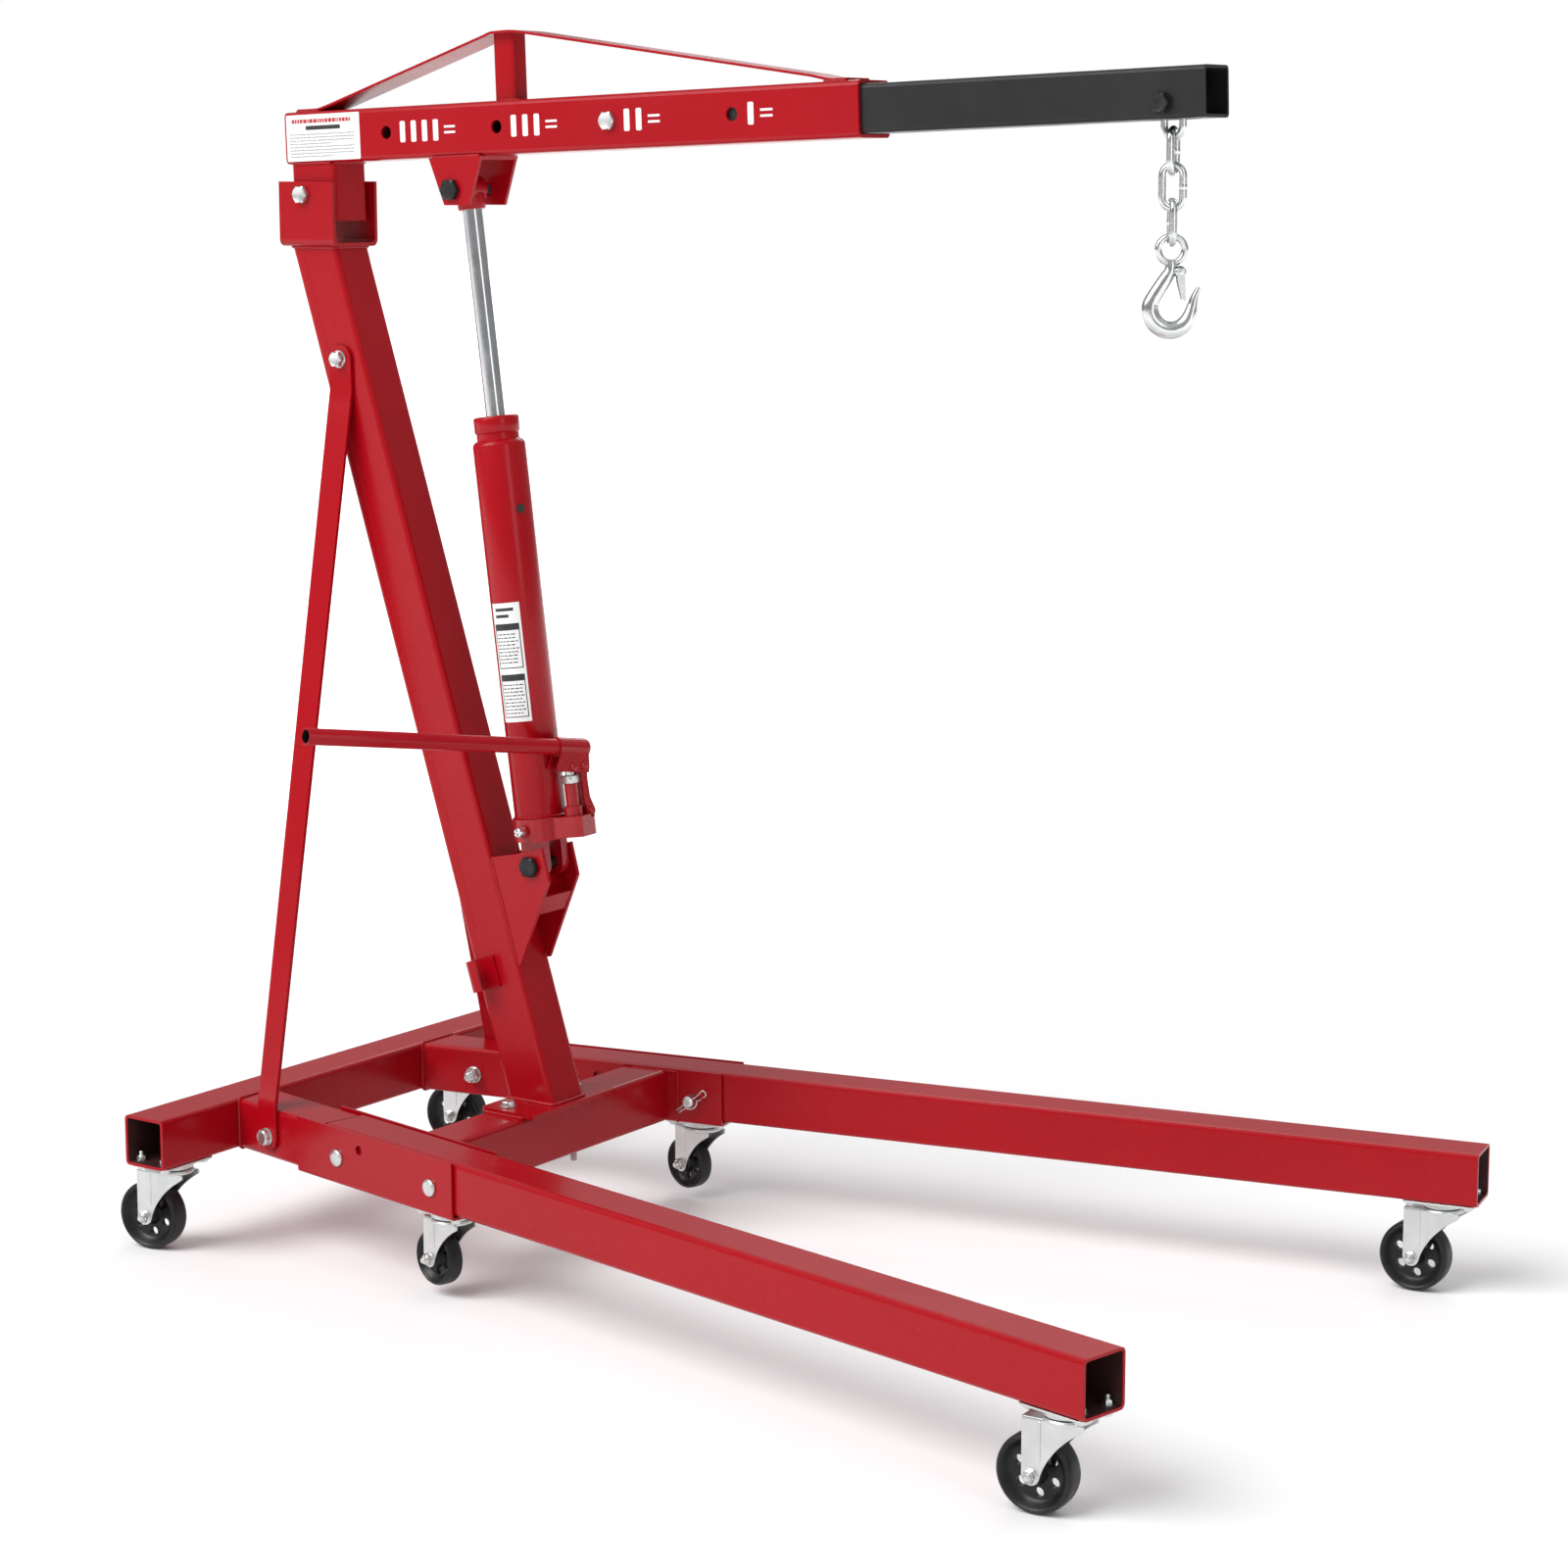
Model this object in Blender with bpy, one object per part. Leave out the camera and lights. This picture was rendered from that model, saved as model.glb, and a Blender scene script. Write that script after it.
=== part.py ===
"""Folding engine hoist crane: splayed wheeled base, leaning post, telescopic boom, long-ram jack, chain and hook.

Metres, +Z up, +X forward to the leg tips, +Y to the crane's left. The floor is z = 0, and the origin is on the
floor under the middle of the crane's length. Run with blender --background --python part.py.
"""

from math import acos, asin, atan2, cos, pi, radians, sin, sqrt, tan

import bmesh
import bpy
from mathutils import Matrix, Vector

# ---- driving dimensions -------------------------------------------------------------------------------------
ORIGIN_X = 0.7465  # from the rear of the crossbar to the middle of the crane's length
GAP = 0.0003  # between pieces that touch
BASE_Z = 0.1235  # underside of the base tubes
TUBE = 0.0675  # square tube of the base
WALL = 0.004
CROSSBAR_LENGTH = 0.730
RAIL_Y = 0.2215  # outer face of a side rail where it meets the crossbar
SPLAY = radians(11.3)
RAIL_END = 0.180  # these run along the rail from the crossbar
CHANNEL_START, CHANNEL_END = 0.135, 0.454
CHANNEL_PLATE = 0.0035
LEG_START, LEG_TIP = 0.190, 1.4915
LEG_WIDTH, LEG_HEIGHT, LEG_LIFT = 0.0665, 0.069, 0.0012
LEG_PIVOT, LEG_PIVOT_Z = 0.2204, 0.0315
LOCK_PIN = 0.4113
SPARE_HOLE = (0.2662, 0.0500, 0.0065)  # along, up, radius
PIN_R, PIN_HOLE_R = 0.008, 0.0085
BEAM_REAR, BEAM_DEPTH = 0.3790, 0.067
BEAM_BOTTOM, BEAM_TOP = -0.0038, 0.068  # above the underside of the base tubes
FOOT_PLATE = 0.006
POST_LEAN = radians(17.5)
POST_WIDTH, POST_DEPTH = 0.0665, 0.073
POST_FOOT_X = 0.4137  # post's centre line where it meets the foot plate
BOOM_PIVOT = Vector((0.056, 0.0, 1.377))
BOOM_TILT = radians(1.95)
HEAD_OUTER, HEAD_PLATE = 0.044, 0.005  # half width and thickness of the post's head bracket
BOOM_SIZE, BOOM_UNDER = 0.0675, 0.040  # boom's section, and its underside above the pivot
BOOM_REAR, BOOM_FRONT = -0.0344, 0.8736
BOOM_HOLES = (0.1406, 0.3243, 0.5031, 0.6901)
BOOM_HOLE_Z = 0.075
SET_HOLE = 2  # the hole that holds the extension
EXT_SIZE, EXT_REAR, EXT_FRONT = 0.058, 0.4606, 1.3303
CHAIN_BOLT = Vector((1.2765, 0.0, 0.063))  # along and above the boom's pivot
CHAIN_BOLT_R = 0.006
JACK_FOOT = Vector((0.418, 0.0, 0.514))
RAM_PIN = Vector((0.305, 0.0, 1.384))
CYLINDER_R, COLLAR_R, RAM_R = 0.0343, 0.0296, 0.0125
PUMP = Vector((0.052, 0.004, 0.0))  # pump plunger beside the cylinder
PUMP_TURN = radians(14.3)  # rocker plane, turned from the crane's cross direction
LINK_WIRE, LINK_INSIDE, LINK_WIDTH = 0.0085, 0.040, 0.032
HANG_TURN = radians(36)  # lower chain and hook, turned about their own hanging line
WHEEL_SIDES = 20

RED = ("red_paint", (0.62, 0.012, 0.018), 0.28, 0.0)
BLACK = ("black_paint", (0.016, 0.016, 0.018), 0.38, 0.0)
ZINC = ("zinc", (0.78, 0.79, 0.80), 0.30, 1.0)
CHROME = ("chrome", (0.86, 0.87, 0.88), 0.08, 1.0)
OXIDE = ("black_oxide", (0.022, 0.022, 0.024), 0.42, 0.6)
TYRE = ("wheel_plastic", (0.012, 0.012, 0.013), 0.45, 0.0)


# ---- materials and objects ----------------------------------------------------------------------------------
def material(spec):
    name, colour, roughness, metallic = spec
    made = bpy.data.materials.get(name)
    if made is None:
        made = bpy.data.materials.new(name)
        made.use_nodes = True
        shader = made.node_tree.nodes["Principled BSDF"]
        shader.inputs["Base Color"].default_value = (*colour, 1.0)
        shader.inputs["Roughness"].default_value = roughness
        shader.inputs["Metallic"].default_value = metallic
    return made


def world(x, y, z):
    """A place measured from the rear of the crossbar, in the crane's own frame."""
    return Vector((x - ORIGIN_X, y, z))


def make(name, shapes, spec, matrix=None, smooth=False):
    """One object from one or more closed bmesh shapes, placed by a matrix."""
    mesh = bpy.data.meshes.new(name)
    whole = bmesh.new()
    for shape in shapes if isinstance(shapes, list) else [shapes]:
        part = bpy.data.meshes.new("shape")
        shape.to_mesh(part)
        shape.free()
        whole.from_mesh(part)
        bpy.data.meshes.remove(part)
    whole.to_mesh(mesh)
    whole.free()
    obj = bpy.data.objects.new(name, mesh)
    bpy.context.scene.collection.objects.link(obj)
    obj.matrix_world = matrix if matrix is not None else Matrix.Translation(world(0, 0, 0))
    if spec is not None:
        mesh.materials.append(material(spec))
    if smooth:
        mesh.shade_smooth()
        mesh.set_sharp_from_angle(angle=radians(35))
    return obj


def boolean(obj, shape, operation, matrix=None):
    """Cuts a shape from an object or joins it on; the shape is in the object's frame unless a matrix is given."""
    other = make(obj.name + "_tool", shape, None, matrix if matrix is not None else obj.matrix_world.copy())
    other.hide_render = True
    other.display_type = "WIRE"
    modifier = obj.modifiers.new(operation.lower(), "BOOLEAN")
    modifier.operation = operation
    modifier.solver = "EXACT"
    modifier.object = other
    return obj


def cut(obj, shape, matrix=None):
    return boolean(obj, shape, "DIFFERENCE", matrix)


def join(obj, shape, matrix=None):
    return boolean(obj, shape, "UNION", matrix)


# ---- shapes -------------------------------------------------------------------------------------------------
def loft(rings, closed=False):
    """A closed shape through rings of equally many points; a closed loft runs on from the last ring to the first."""
    shape = bmesh.new()
    made = [[shape.verts.new(p) for p in ring] for ring in rings]
    count = len(rings[0])
    pairs = list(zip(made, made[1:])) + ([(made[-1], made[0])] if closed else [])
    for a, b in pairs:
        for i in range(count):
            j = (i + 1) % count
            shape.faces.new((a[i], a[j], b[j], b[i]))
    if not closed:
        shape.faces.new(made[0][::-1])
        shape.faces.new(made[-1])
    bmesh.ops.recalc_face_normals(shape, faces=shape.faces)
    return shape


def on_axis(axis, u, v, along):
    """A point from two section coordinates and the distance along an axis."""
    return {"X": (along, u, v), "Y": (u, along, v), "Z": (u, v, along)}[axis]


def prism(outline, low, high, axis="Y"):
    return loft([[on_axis(axis, u, v, at) for u, v in outline] for at in (low, high)])


def block(low, high):
    outline = [(low[0], low[1]), (high[0], low[1]), (high[0], high[1]), (low[0], high[1])]
    return prism(outline, low[2], high[2], "Z")


def circle(radius, sides, u=0.0, v=0.0, turn=0.5):
    return [
        (u + radius * cos(2 * pi * (i + turn) / sides), v + radius * sin(2 * pi * (i + turn) / sides))
        for i in range(sides)
    ]


def arc(u, v, radius, start, end, steps):
    """Points on an arc, angles in degrees."""
    angles = [radians(start + (end - start) * i / steps) for i in range(steps + 1)]
    return [(u + radius * cos(a), v + radius * sin(a)) for a in angles]


def rounded(width, height, radius, steps=3, u=0.0, v=0.0):
    """Rounded rectangle, centred on u, v."""
    x, y = width / 2 - radius, height / 2 - radius
    corners = ((x, y, 0), (-x, y, 90), (-x, -y, 180), (x, -y, 270))
    return [p for cx, cy, a in corners for p in arc(u + cx, v + cy, radius, a, a + 90, steps)]


def tube(axis, low, high, width, height, wall=WALL, radius=0.006, u=0.0, v=0.0):
    """Square tube with open ends. The ends are distances along the axis, or functions of the section point."""
    outer = rounded(width, height, radius, 3, u, v)
    inner = rounded(width - 2 * wall, height - 2 * wall, radius - wall + 0.001, 3, u, v)
    ends = [end if callable(end) else (lambda a, b, end=end: end) for end in (low, high)]

    def ring(section, end):
        return [on_axis(axis, a, b, end(a, b)) for a, b in section]

    rings = [ring(outer, ends[0]), ring(outer, ends[1]), ring(inner, ends[1]), ring(inner, ends[0])]
    return loft(rings, closed=True)


def cylinder(radius, low, high, axis="Y", sides=16, u=0.0, v=0.0):
    return prism(circle(radius, sides, u, v), low, high, axis)


def hex_points(across, count):
    """Points round a hexagon, given its width across flats."""
    points = []
    for i in range(count):
        angle = 2 * pi * i / count
        off = (angle + pi / 6) % (pi / 3) - pi / 6
        radius = across / 2 / cos(pi / 6 - abs(off))
        points.append((radius * cos(angle), radius * sin(angle)))
    return points


def stack(levels, axis="Y", sides=12, u=0.0, v=0.0):
    """A turned or hexagonal shape from (distance along the axis, radius or ("hex", across flats)) levels."""
    rings = []
    for at, size in levels:
        if isinstance(size, tuple):
            section = hex_points(size[1], sides)
        else:
            section = [(size * cos(2 * pi * i / sides), size * sin(2 * pi * i / sides)) for i in range(sides)]
        rings.append([on_axis(axis, u + a, v + b, at) for a, b in section])
    return loft(rings)


def bolt(low, high, radius, across, axis="Y", sides=12, head=0.008, nut=0.009, stub=0.006, u=0.0, v=0.0):
    """A bolt whose head sits against low and whose nut sits against high."""
    levels = [
        (low - head, ("hex", across)),
        (low, ("hex", across)),
        (low, radius),
        (high, radius),
        (high, ("hex", across)),
        (high + nut, ("hex", across)),
        (high + nut, radius),
        (high + nut + stub, radius),
    ]
    return stack(levels, axis, sides, u, v)


def sweep(path, radii, sides=8, closed=False, side=Vector((0, 1, 0))):
    """A round bar along a path that lies in a plane with the given normal."""
    rings = []
    count = len(path)
    for i, point in enumerate(path):
        before = path[(i - 1) % count] if closed or i else point
        after = path[(i + 1) % count] if closed or i < count - 1 else point
        along = (Vector(after) - Vector(before)).normalized()
        across = along.cross(side).normalized()
        radius = radii[i] if isinstance(radii, list) else radii
        rings.append([
            Vector(point) + radius * (cos(2 * pi * k / sides) * across + sin(2 * pi * k / sides) * side)
            for k in range(sides)
        ])
    return loft(rings, closed)


# ---- frames -------------------------------------------------------------------------------------------------
def rail_frame(side, along=0.0, up=0.0):
    """Frame of one side of the base: x along the rail, y to the crane's left, at the rail's outer face."""
    turn = Matrix.Rotation(side * SPLAY, 4, "Z")
    start = Matrix.Translation(world(TUBE, side * RAIL_Y, BASE_Z))
    return start @ turn @ Matrix.Translation((along, 0, up))


def boom_frame():
    return Matrix.Translation(world(*BOOM_PIVOT)) @ Matrix.Rotation(-BOOM_TILT, 4, "Y")


def jack_frame(along=0.0):
    lean = atan2(RAM_PIN.x - JACK_FOOT.x, RAM_PIN.z - JACK_FOOT.z)
    return Matrix.Translation(world(*JACK_FOOT)) @ Matrix.Rotation(lean, 4, "Y") @ Matrix.Translation((0, 0, along))


def pump_frame(along):
    """Frame of the pump's rocker: y runs in the rocker's plane, away from the handle."""
    return jack_frame() @ Matrix.Translation((PUMP.x, PUMP.y, along)) @ Matrix.Rotation(-PUMP_TURN, 4, "Z")


# ---- base ---------------------------------------------------------------------------------------------------
def make_crossbar():
    y = CROSSBAR_LENGTH / 2
    frame = Matrix.Translation(world(TUBE / 2, 0, BASE_Z + TUBE / 2))
    return make("rear_crossbar", tube("Y", -y, y, TUBE, TUBE), RED, frame)


def make_rail(side, name):
    def start(u, v):
        return (GAP + u * sin(side * SPLAY)) / cos(SPLAY)

    u = -side * TUBE / 2
    rail = make(name + "_rail", tube("X", start, RAIL_END, TUBE, TUBE, u=u, v=TUBE / 2), RED, rail_frame(side))
    swing = cylinder(0.0496, -0.12, 0.12, "Y", 32, LEG_PIVOT, LEG_PIVOT_Z)
    return cut(rail, swing)


def channel_outline(side):
    """Open-topped channel section round the rail and the leg: y across, z up."""
    out, low, t = 0.0004 + CHANNEL_PLATE, -GAP - CHANNEL_PLATE, CHANNEL_PLATE
    left, right = -TUBE / 2 - out, TUBE / 2 + out
    r, high = 0.004, 0.0705
    points = [(left, high), (left, low + r)] + arc(left + r, low + r, r, 180, 270, 3)[1:]
    points += arc(right - r, low + r, r, 270, 360, 3) + [(right, high), (right - t, high)]
    points += [(right - t, low + t), (left + t, low + t), (left + t, high)]
    return [(u - side * TUBE / 2, v) for u, v in points]


def make_channel(side, name):
    """Open channel that holds a leg, welded to the end of its rail and to the front beam."""
    shape = prism(channel_outline(side), CHANNEL_START, CHANNEL_END, "X")
    channel = make(name + "_channel", shape, RED, rail_frame(side))
    for along, up, radius in ((LEG_PIVOT, LEG_PIVOT_Z, PIN_HOLE_R), (LOCK_PIN, LEG_PIVOT_Z, PIN_HOLE_R), SPARE_HOLE):
        cut(channel, cylinder(radius, -0.12, 0.12, "Y", 16, along, up))
    return channel


def beam_end(side):
    """Where the front beam's end meets the inner wall of a channel, for a point x along the crane."""
    inner = TUBE + 0.0004 + CHANNEL_PLATE + GAP

    def end(u, v):
        x = u + BEAM_REAR + BEAM_DEPTH / 2
        return side * (RAIL_Y + (x - TUBE) * tan(SPLAY) - inner / cos(SPLAY))

    return end


def make_front_beam():
    z = BASE_Z + (BEAM_BOTTOM + BEAM_TOP) / 2
    frame = Matrix.Translation(world(BEAM_REAR + BEAM_DEPTH / 2, 0, z))
    shape = tube("Y", beam_end(-1), beam_end(1), BEAM_DEPTH, BEAM_TOP - BEAM_BOTTOM)
    return make("front_beam", shape, RED, frame)


def make_foot_plate():
    z = BASE_Z + BEAM_TOP + GAP
    outline = rounded(0.088, 0.178, 0.006, 2)
    frame = Matrix.Translation(world(0.4185, 0, z))
    return make("post_foot_plate", prism(outline, 0, FOOT_PLATE, "Z"), RED, frame)


def post_point(across, y, z):
    """A point of the post: across its depth, at a height above the floor, in world coordinates."""
    foot = BASE_Z + BEAM_TOP + 2 * GAP + FOOT_PLATE
    return world(POST_FOOT_X + across / cos(POST_LEAN) - (z - foot) * tan(POST_LEAN), y, z)


POST_BOTTOM = BASE_Z + BEAM_TOP + 2 * GAP + FOOT_PLATE
HEAD_BOTTOM, HEAD_TOP = 1.3095, 1.394
POST_TOP = HEAD_BOTTOM - GAP


def clip_frame():
    return Matrix.Translation(post_point(-0.0185, -POST_WIDTH / 2, 0.3625)) @ Matrix.Rotation(-POST_LEAN, 4, "Y")


def clip_shape():
    """Hook-shaped spring strip, welded to the post's right side, that stows the pump handle."""
    r, t = 0.0115, 0.003
    outside = arc(0, -r - t, r + t, 90, 300, 9)
    inside = arc(0, -r - t, r, 300, 90, 9)
    foot = [(0, -t), (0.019, -t), (0.019, 0.0006)]
    return prism([(0, 0.0006)] + outside[1:] + inside[:-1] + foot, -0.021, 0.021, "Z")


def make_post():
    outer = rounded(POST_DEPTH, POST_WIDTH, 0.006)
    inner = rounded(POST_DEPTH - 2 * WALL, POST_WIDTH - 2 * WALL, 0.003)
    origin = post_point(0, 0, POST_BOTTOM)
    rings = []
    for section, z in ((outer, POST_BOTTOM), (outer, POST_TOP), (inner, POST_TOP), (inner, POST_BOTTOM)):
        rings.append([post_point(u, v, z) - origin for u, v in section])
    post = make("post", loft(rings, closed=True), RED, Matrix.Translation(origin))
    return join(post, clip_shape(), clip_frame())


def make_head_bracket():
    """U bracket on the post's top: its plates carry the boom's pivot bolt."""
    r, t, w = 0.009, HEAD_PLATE, HEAD_OUTER
    low, high = HEAD_BOTTOM, HEAD_TOP
    points = [(-w, high), (-w, low + r)] + arc(-w + r, low + r, r, 180, 270, 4)[1:]
    points += arc(w - r, low + r, r, 270, 360, 4) + [(w, high), (w - t, high), (w - t, low + r)]
    points += [(w - r, low + t), (-w + r, low + t), (-w + t, low + r), (-w + t, high)]
    bracket = make("post_head_bracket", prism(points, 0.0145, 0.1085, "X"), RED)
    cut(bracket, cylinder(PIN_HOLE_R, -0.06, 0.06, "Y", 16, BOOM_PIVOT.x, BOOM_PIVOT.z))
    return bracket


def jack_bracket_outline():
    """Side plate of the jack's bracket: it follows the post's front face, then stands out to the jack's bolt."""
    def front(z):
        return post_point(POST_DEPTH / 2, 0, z).x + ORIGIN_X + GAP

    top, low = 0.519, 0.3805
    return [(front(top), top), (0.405, 0.5305), (0.436, 0.540), (0.4475, 0.4965), (0.4135, 0.4155),
            (front(low) + 0.004, low), (front(low), low)]


def make_jack_bracket():
    outer, inner = POST_WIDTH / 2, POST_WIDTH / 2 - 0.005
    plate = jack_bracket_outline()
    bracket = make("jack_bracket", prism(plate, -outer, -inner), RED)
    join(bracket, prism(plate, inner, outer))
    web = [(0.4225, 0.4520), (0.4265, 0.4500), (0.4375, 0.4745), (0.4335, 0.4765)]
    join(bracket, prism(web, -inner - 0.001, inner + 0.001))
    cut(bracket, cylinder(PIN_HOLE_R, -0.06, 0.06, "Y", 16, JACK_FOOT.x, JACK_FOOT.z))
    return bracket


BRACE_TOP_Z = 1.163
BRACE_THICK, BRACE_WIDTH = 0.005, 0.038


def brace_shape(side):
    """Flat bar from the post down to the outer face of a rail, with its ends bent flat against both."""
    rail = rail_frame(side)
    foot = rail @ Vector((0.0698, 0, 0.0305))
    out = (rail.to_3x3() @ Vector((0, side, 0))).normalized()
    foot_face = foot + out * GAP
    head = post_point(0, side * (POST_WIDTH / 2 + GAP), BRACE_TOP_Z)
    cross = Vector((0, side, 0))
    line = (head - foot_face).normalized()
    foot_up = Vector((line.x * 0.4, 0, 1)).normalized()
    foot_up = (foot_up - out * foot_up.dot(out)).normalized()
    head_up = (line - cross * line.dot(cross)).normalized()
    stations = [(foot_face - foot_up * 0.0185, out, foot_up, 0.50), (foot_face - foot_up * 0.0140, out, foot_up, 0.84)]
    stations += [(foot_face - foot_up * 0.0055, out, foot_up, 1.0), (foot_face + foot_up * 0.042, out, foot_up, 1.0)]
    stations += [(foot_face + foot_up * 0.060 + (line - foot_up) * 0.02, None, line, 1.0)]
    stations += [(head - head_up * 0.060 + (head_up - line) * 0.02, None, line, 1.0)]
    stations += [(head - head_up * 0.040, cross, head_up, 1.0), (head + head_up * 0.0055, cross, head_up, 1.0)]
    stations += [(head + head_up * 0.0140, cross, head_up, 0.84), (head + head_up * 0.0185, cross, head_up, 0.50)]
    rings = []
    for centre, normal, along, share in stations:
        if normal is None:
            blend = (out + cross).normalized()
            normal = (blend - along * blend.dot(along)).normalized()
        wide = normal.cross(along).normalized() * BRACE_WIDTH / 2 * share
        thick = normal * BRACE_THICK
        rings.append([centre - wide, centre + wide, centre + wide + thick, centre - wide + thick])
    return loft(rings)


def placed(shape, matrix):
    shape.transform(matrix)
    return shape


def pin_frame(side, along):
    """Frame of a cross hole in a channel, with y running inwards from the channel's outer side."""
    return rail_frame(side, along, LEG_PIVOT_Z) @ Matrix.Rotation(0 if side < 0 else pi, 4, "Z")


def make_leg_pins(side, name):
    """The pin that a leg folds about, and the head of the pin that locks it down.

    The lock pin stops at the channel's outer wall: on the real crane it is drawn out before its leg folds.
    """
    out = -0.0004 - CHANNEL_PLATE - GAP
    head = [(out - 0.0045, 0.0085), (out - 0.003, 0.0112), (out, 0.0112), (out, PIN_R)]
    pivot = stack(head + [(TUBE + 0.014, PIN_R)], sides=16)
    make(name + "_leg_pivot_pin", pivot, ZINC, pin_frame(side, LEG_PIVOT))
    make(name + "_lock_pin", stack(head + [(0.0, PIN_R)], sides=16), ZINC, pin_frame(side, LOCK_PIN))


def bolt_head(face, inwards, radius, across, u=0.0, v=0.0):
    """The head end of a bolt on a face on the right side, reaching inwards from it."""
    levels = [(face - 0.0093, ("hex", across)), (face - GAP, ("hex", across)), (face - GAP, radius), (inwards, radius)]
    return stack(levels, u=u, v=v)


def make_boom_pivot_bolt():
    w = HEAD_OUTER + GAP
    return make("boom_pivot_bolt", bolt(-w, w, PIN_R, 0.024, head=0.009, nut=0.012), ZINC,
                Matrix.Translation(world(*BOOM_PIVOT)))


def make_jack_foot_bolt():
    w = POST_WIDTH / 2 + GAP
    return make("jack_foot_bolt", bolt(-w, w, PIN_R, 0.024, head=0.009, nut=0.011), OXIDE,
                Matrix.Translation(world(*JACK_FOOT)))


# ---- casters ------------------------------------------------------------------------------------------------
class Caster:
    """Sizes of one swivel caster: plate length and width, total height, wheel radius and width, and trail."""

    def __init__(self, plate, height, wheel_r, wheel_w, trail):
        self.plate, self.height, self.wheel_r, self.wheel_w, self.trail = plate, height, wheel_r, wheel_w, trail


REAR = Caster((0.062, 0.092), BASE_Z - GAP, 0.0455, 0.030, 0.034)
TIP = Caster((0.092, 0.062), BASE_Z + LEG_LIFT - GAP, 0.0455, 0.030, 0.034)
MID = Caster((0.088, 0.062), 0.1045, 0.036, 0.024, 0.028)


def rear_caster_frame(side):
    return Matrix.Translation(world(TUBE / 2, side * 0.313, BASE_Z - GAP))


def mid_caster_frame(side):
    low = -2 * GAP - CHANNEL_PLATE
    return rail_frame(side, 0.4085, low) @ Matrix.Translation((0, -side * TUBE / 2, 0))


def tip_caster_frame(side):
    return rail_frame(side, LEG_TIP - 0.050, LEG_LIFT - GAP) @ Matrix.Translation((0, -side * TUBE / 2, 0))


def caster_plate(caster):
    """Mounting plate with the fixed half of the ball race under it."""
    length, width = caster.plate
    outline = rounded(length, width, 0.007, 5)
    start = circle(1.0, 24, turn=0)
    square = []
    for u, v in start:
        best = max(outline, key=lambda p, u=u, v=v: (p[0] * u + p[1] * v) / sqrt(p[0] ** 2 + p[1] ** 2))
        square.append(best)
    rings = [(square, 0.0), (square, -0.003)]
    for radius, z in ((0.024, -0.003), (0.0255, -0.0045), (0.0255, -0.0085), (0.0200, -0.0095)):
        rings.append((circle(radius, 24, turn=0), z))
    return loft([[(u, v, z) for u, v in section] for section, z in rings])


def fork_arm(caster, y0, y1):
    """One side of the fork: upright at the rear, with a hollow curve from the axle forward to the race."""
    drop, trail = caster.height - caster.wheel_r, caster.trail
    start, pull, end = Vector((0.0112 - trail, 0.002 - drop)), Vector((0.024 - trail, -0.54 * drop)), Vector((0.0272, -0.0200))
    outline = [(-trail - 0.0105, -0.0125)] + arc(-trail, -drop, 0.0105, 180, 340, 6)
    for i in range(6):
        t = i / 5
        outline.append(tuple(start * (1 - t) ** 2 + pull * 2 * t * (1 - t) + end * t * t))
    return prism(outline + [(0.0272, -0.0125)], y0, y1)


def make_fork(name, caster, frame):
    drop = caster.height - caster.wheel_r
    half = caster.wheel_w / 2 + 0.002
    reach = half + 0.003
    disc = stack([(-0.0100, 0.0225), (-0.0105, 0.0275), (-0.0145, 0.0275), (-0.0150, 0.0180)], "Z", 20)
    fork = make(name, disc, ZINC, frame)
    join(fork, block((-caster.trail - 0.0102, -reach + 0.0002, -0.0158), (0.0, reach - 0.0002, -0.0128)))
    for y0, y1 in ((-reach, -half), (half, reach)):
        join(fork, fork_arm(caster, y0, y1))
    axle = bolt(-reach + GAP, reach - GAP, 0.0048, 0.013, "Y", 12, 0.005, 0.006, 0.004, -caster.trail, -drop)
    join(fork, axle)
    return fork


def make_wheel(name, caster, frame):
    """Solid wheel with a slightly dished web and a flat of its tread on the floor."""
    tread = caster.wheel_r / cos(pi / WHEEL_SIDES)
    half, r = caster.wheel_w / 2, caster.wheel_r
    hub, bore = 0.0115, 0.0053
    profile = [(bore, -half), (hub, -half), (hub, -half * 0.72), (r * 0.78, -half * 0.72), (r * 0.84, -half * 0.92)]
    profile += [(tread, -half * 0.92)]
    profile += [(p, -y) for p, y in profile[::-1]]
    rings = []
    for radius, y in profile:
        angles = [2 * pi * (i + 0.5) / WHEEL_SIDES for i in range(WHEEL_SIDES)]
        rings.append([(radius * sin(a), y, -radius * cos(a)) for a in angles])
    drop = caster.height - caster.wheel_r
    place = frame @ Matrix.Translation((-caster.trail, 0, -drop))
    return make(name, loft(rings, closed=True), TYRE, place)


def make_caster(name, caster, frame, heading):
    """Fork and wheel, trailing towards the rear of the crane."""
    level = Matrix.Translation(frame.to_translation()) @ Matrix.Rotation(heading, 4, "Z")
    make_fork(name + "_fork", caster, level)
    make_wheel(name + "_wheel", caster, level)


HEADINGS = {"rear_": radians(8), "mid_": radians(-12), "tip_": radians(4)}


def make_leg(side, name):
    """Long leg that folds up about the pin at the rear of its channel; its open tip carries a caster."""
    frame = rail_frame(side, LEG_PIVOT, LEG_PIVOT_Z)
    low = LEG_LIFT - LEG_PIVOT_Z
    shape = tube("X", LEG_START - LEG_PIVOT, LEG_TIP - LEG_PIVOT, LEG_WIDTH, LEG_HEIGHT, 0.0035,
                 u=-side * TUBE / 2, v=low + LEG_HEIGHT / 2)
    leg = make(name + "_leg", shape, RED, frame)
    heel = [(-0.05, -0.05), (0.0, -0.05)] + arc(0, 0, 0.0302, 270, 180, 8) + [(-0.05, 0.0)]
    cut(leg, prism(heel, -0.12, 0.12))
    for along in (0.0, LOCK_PIN - LEG_PIVOT):
        cut(leg, cylinder(PIN_HOLE_R, -0.12, 0.12, "Y", 16, along, 0.0))
    return leg


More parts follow.
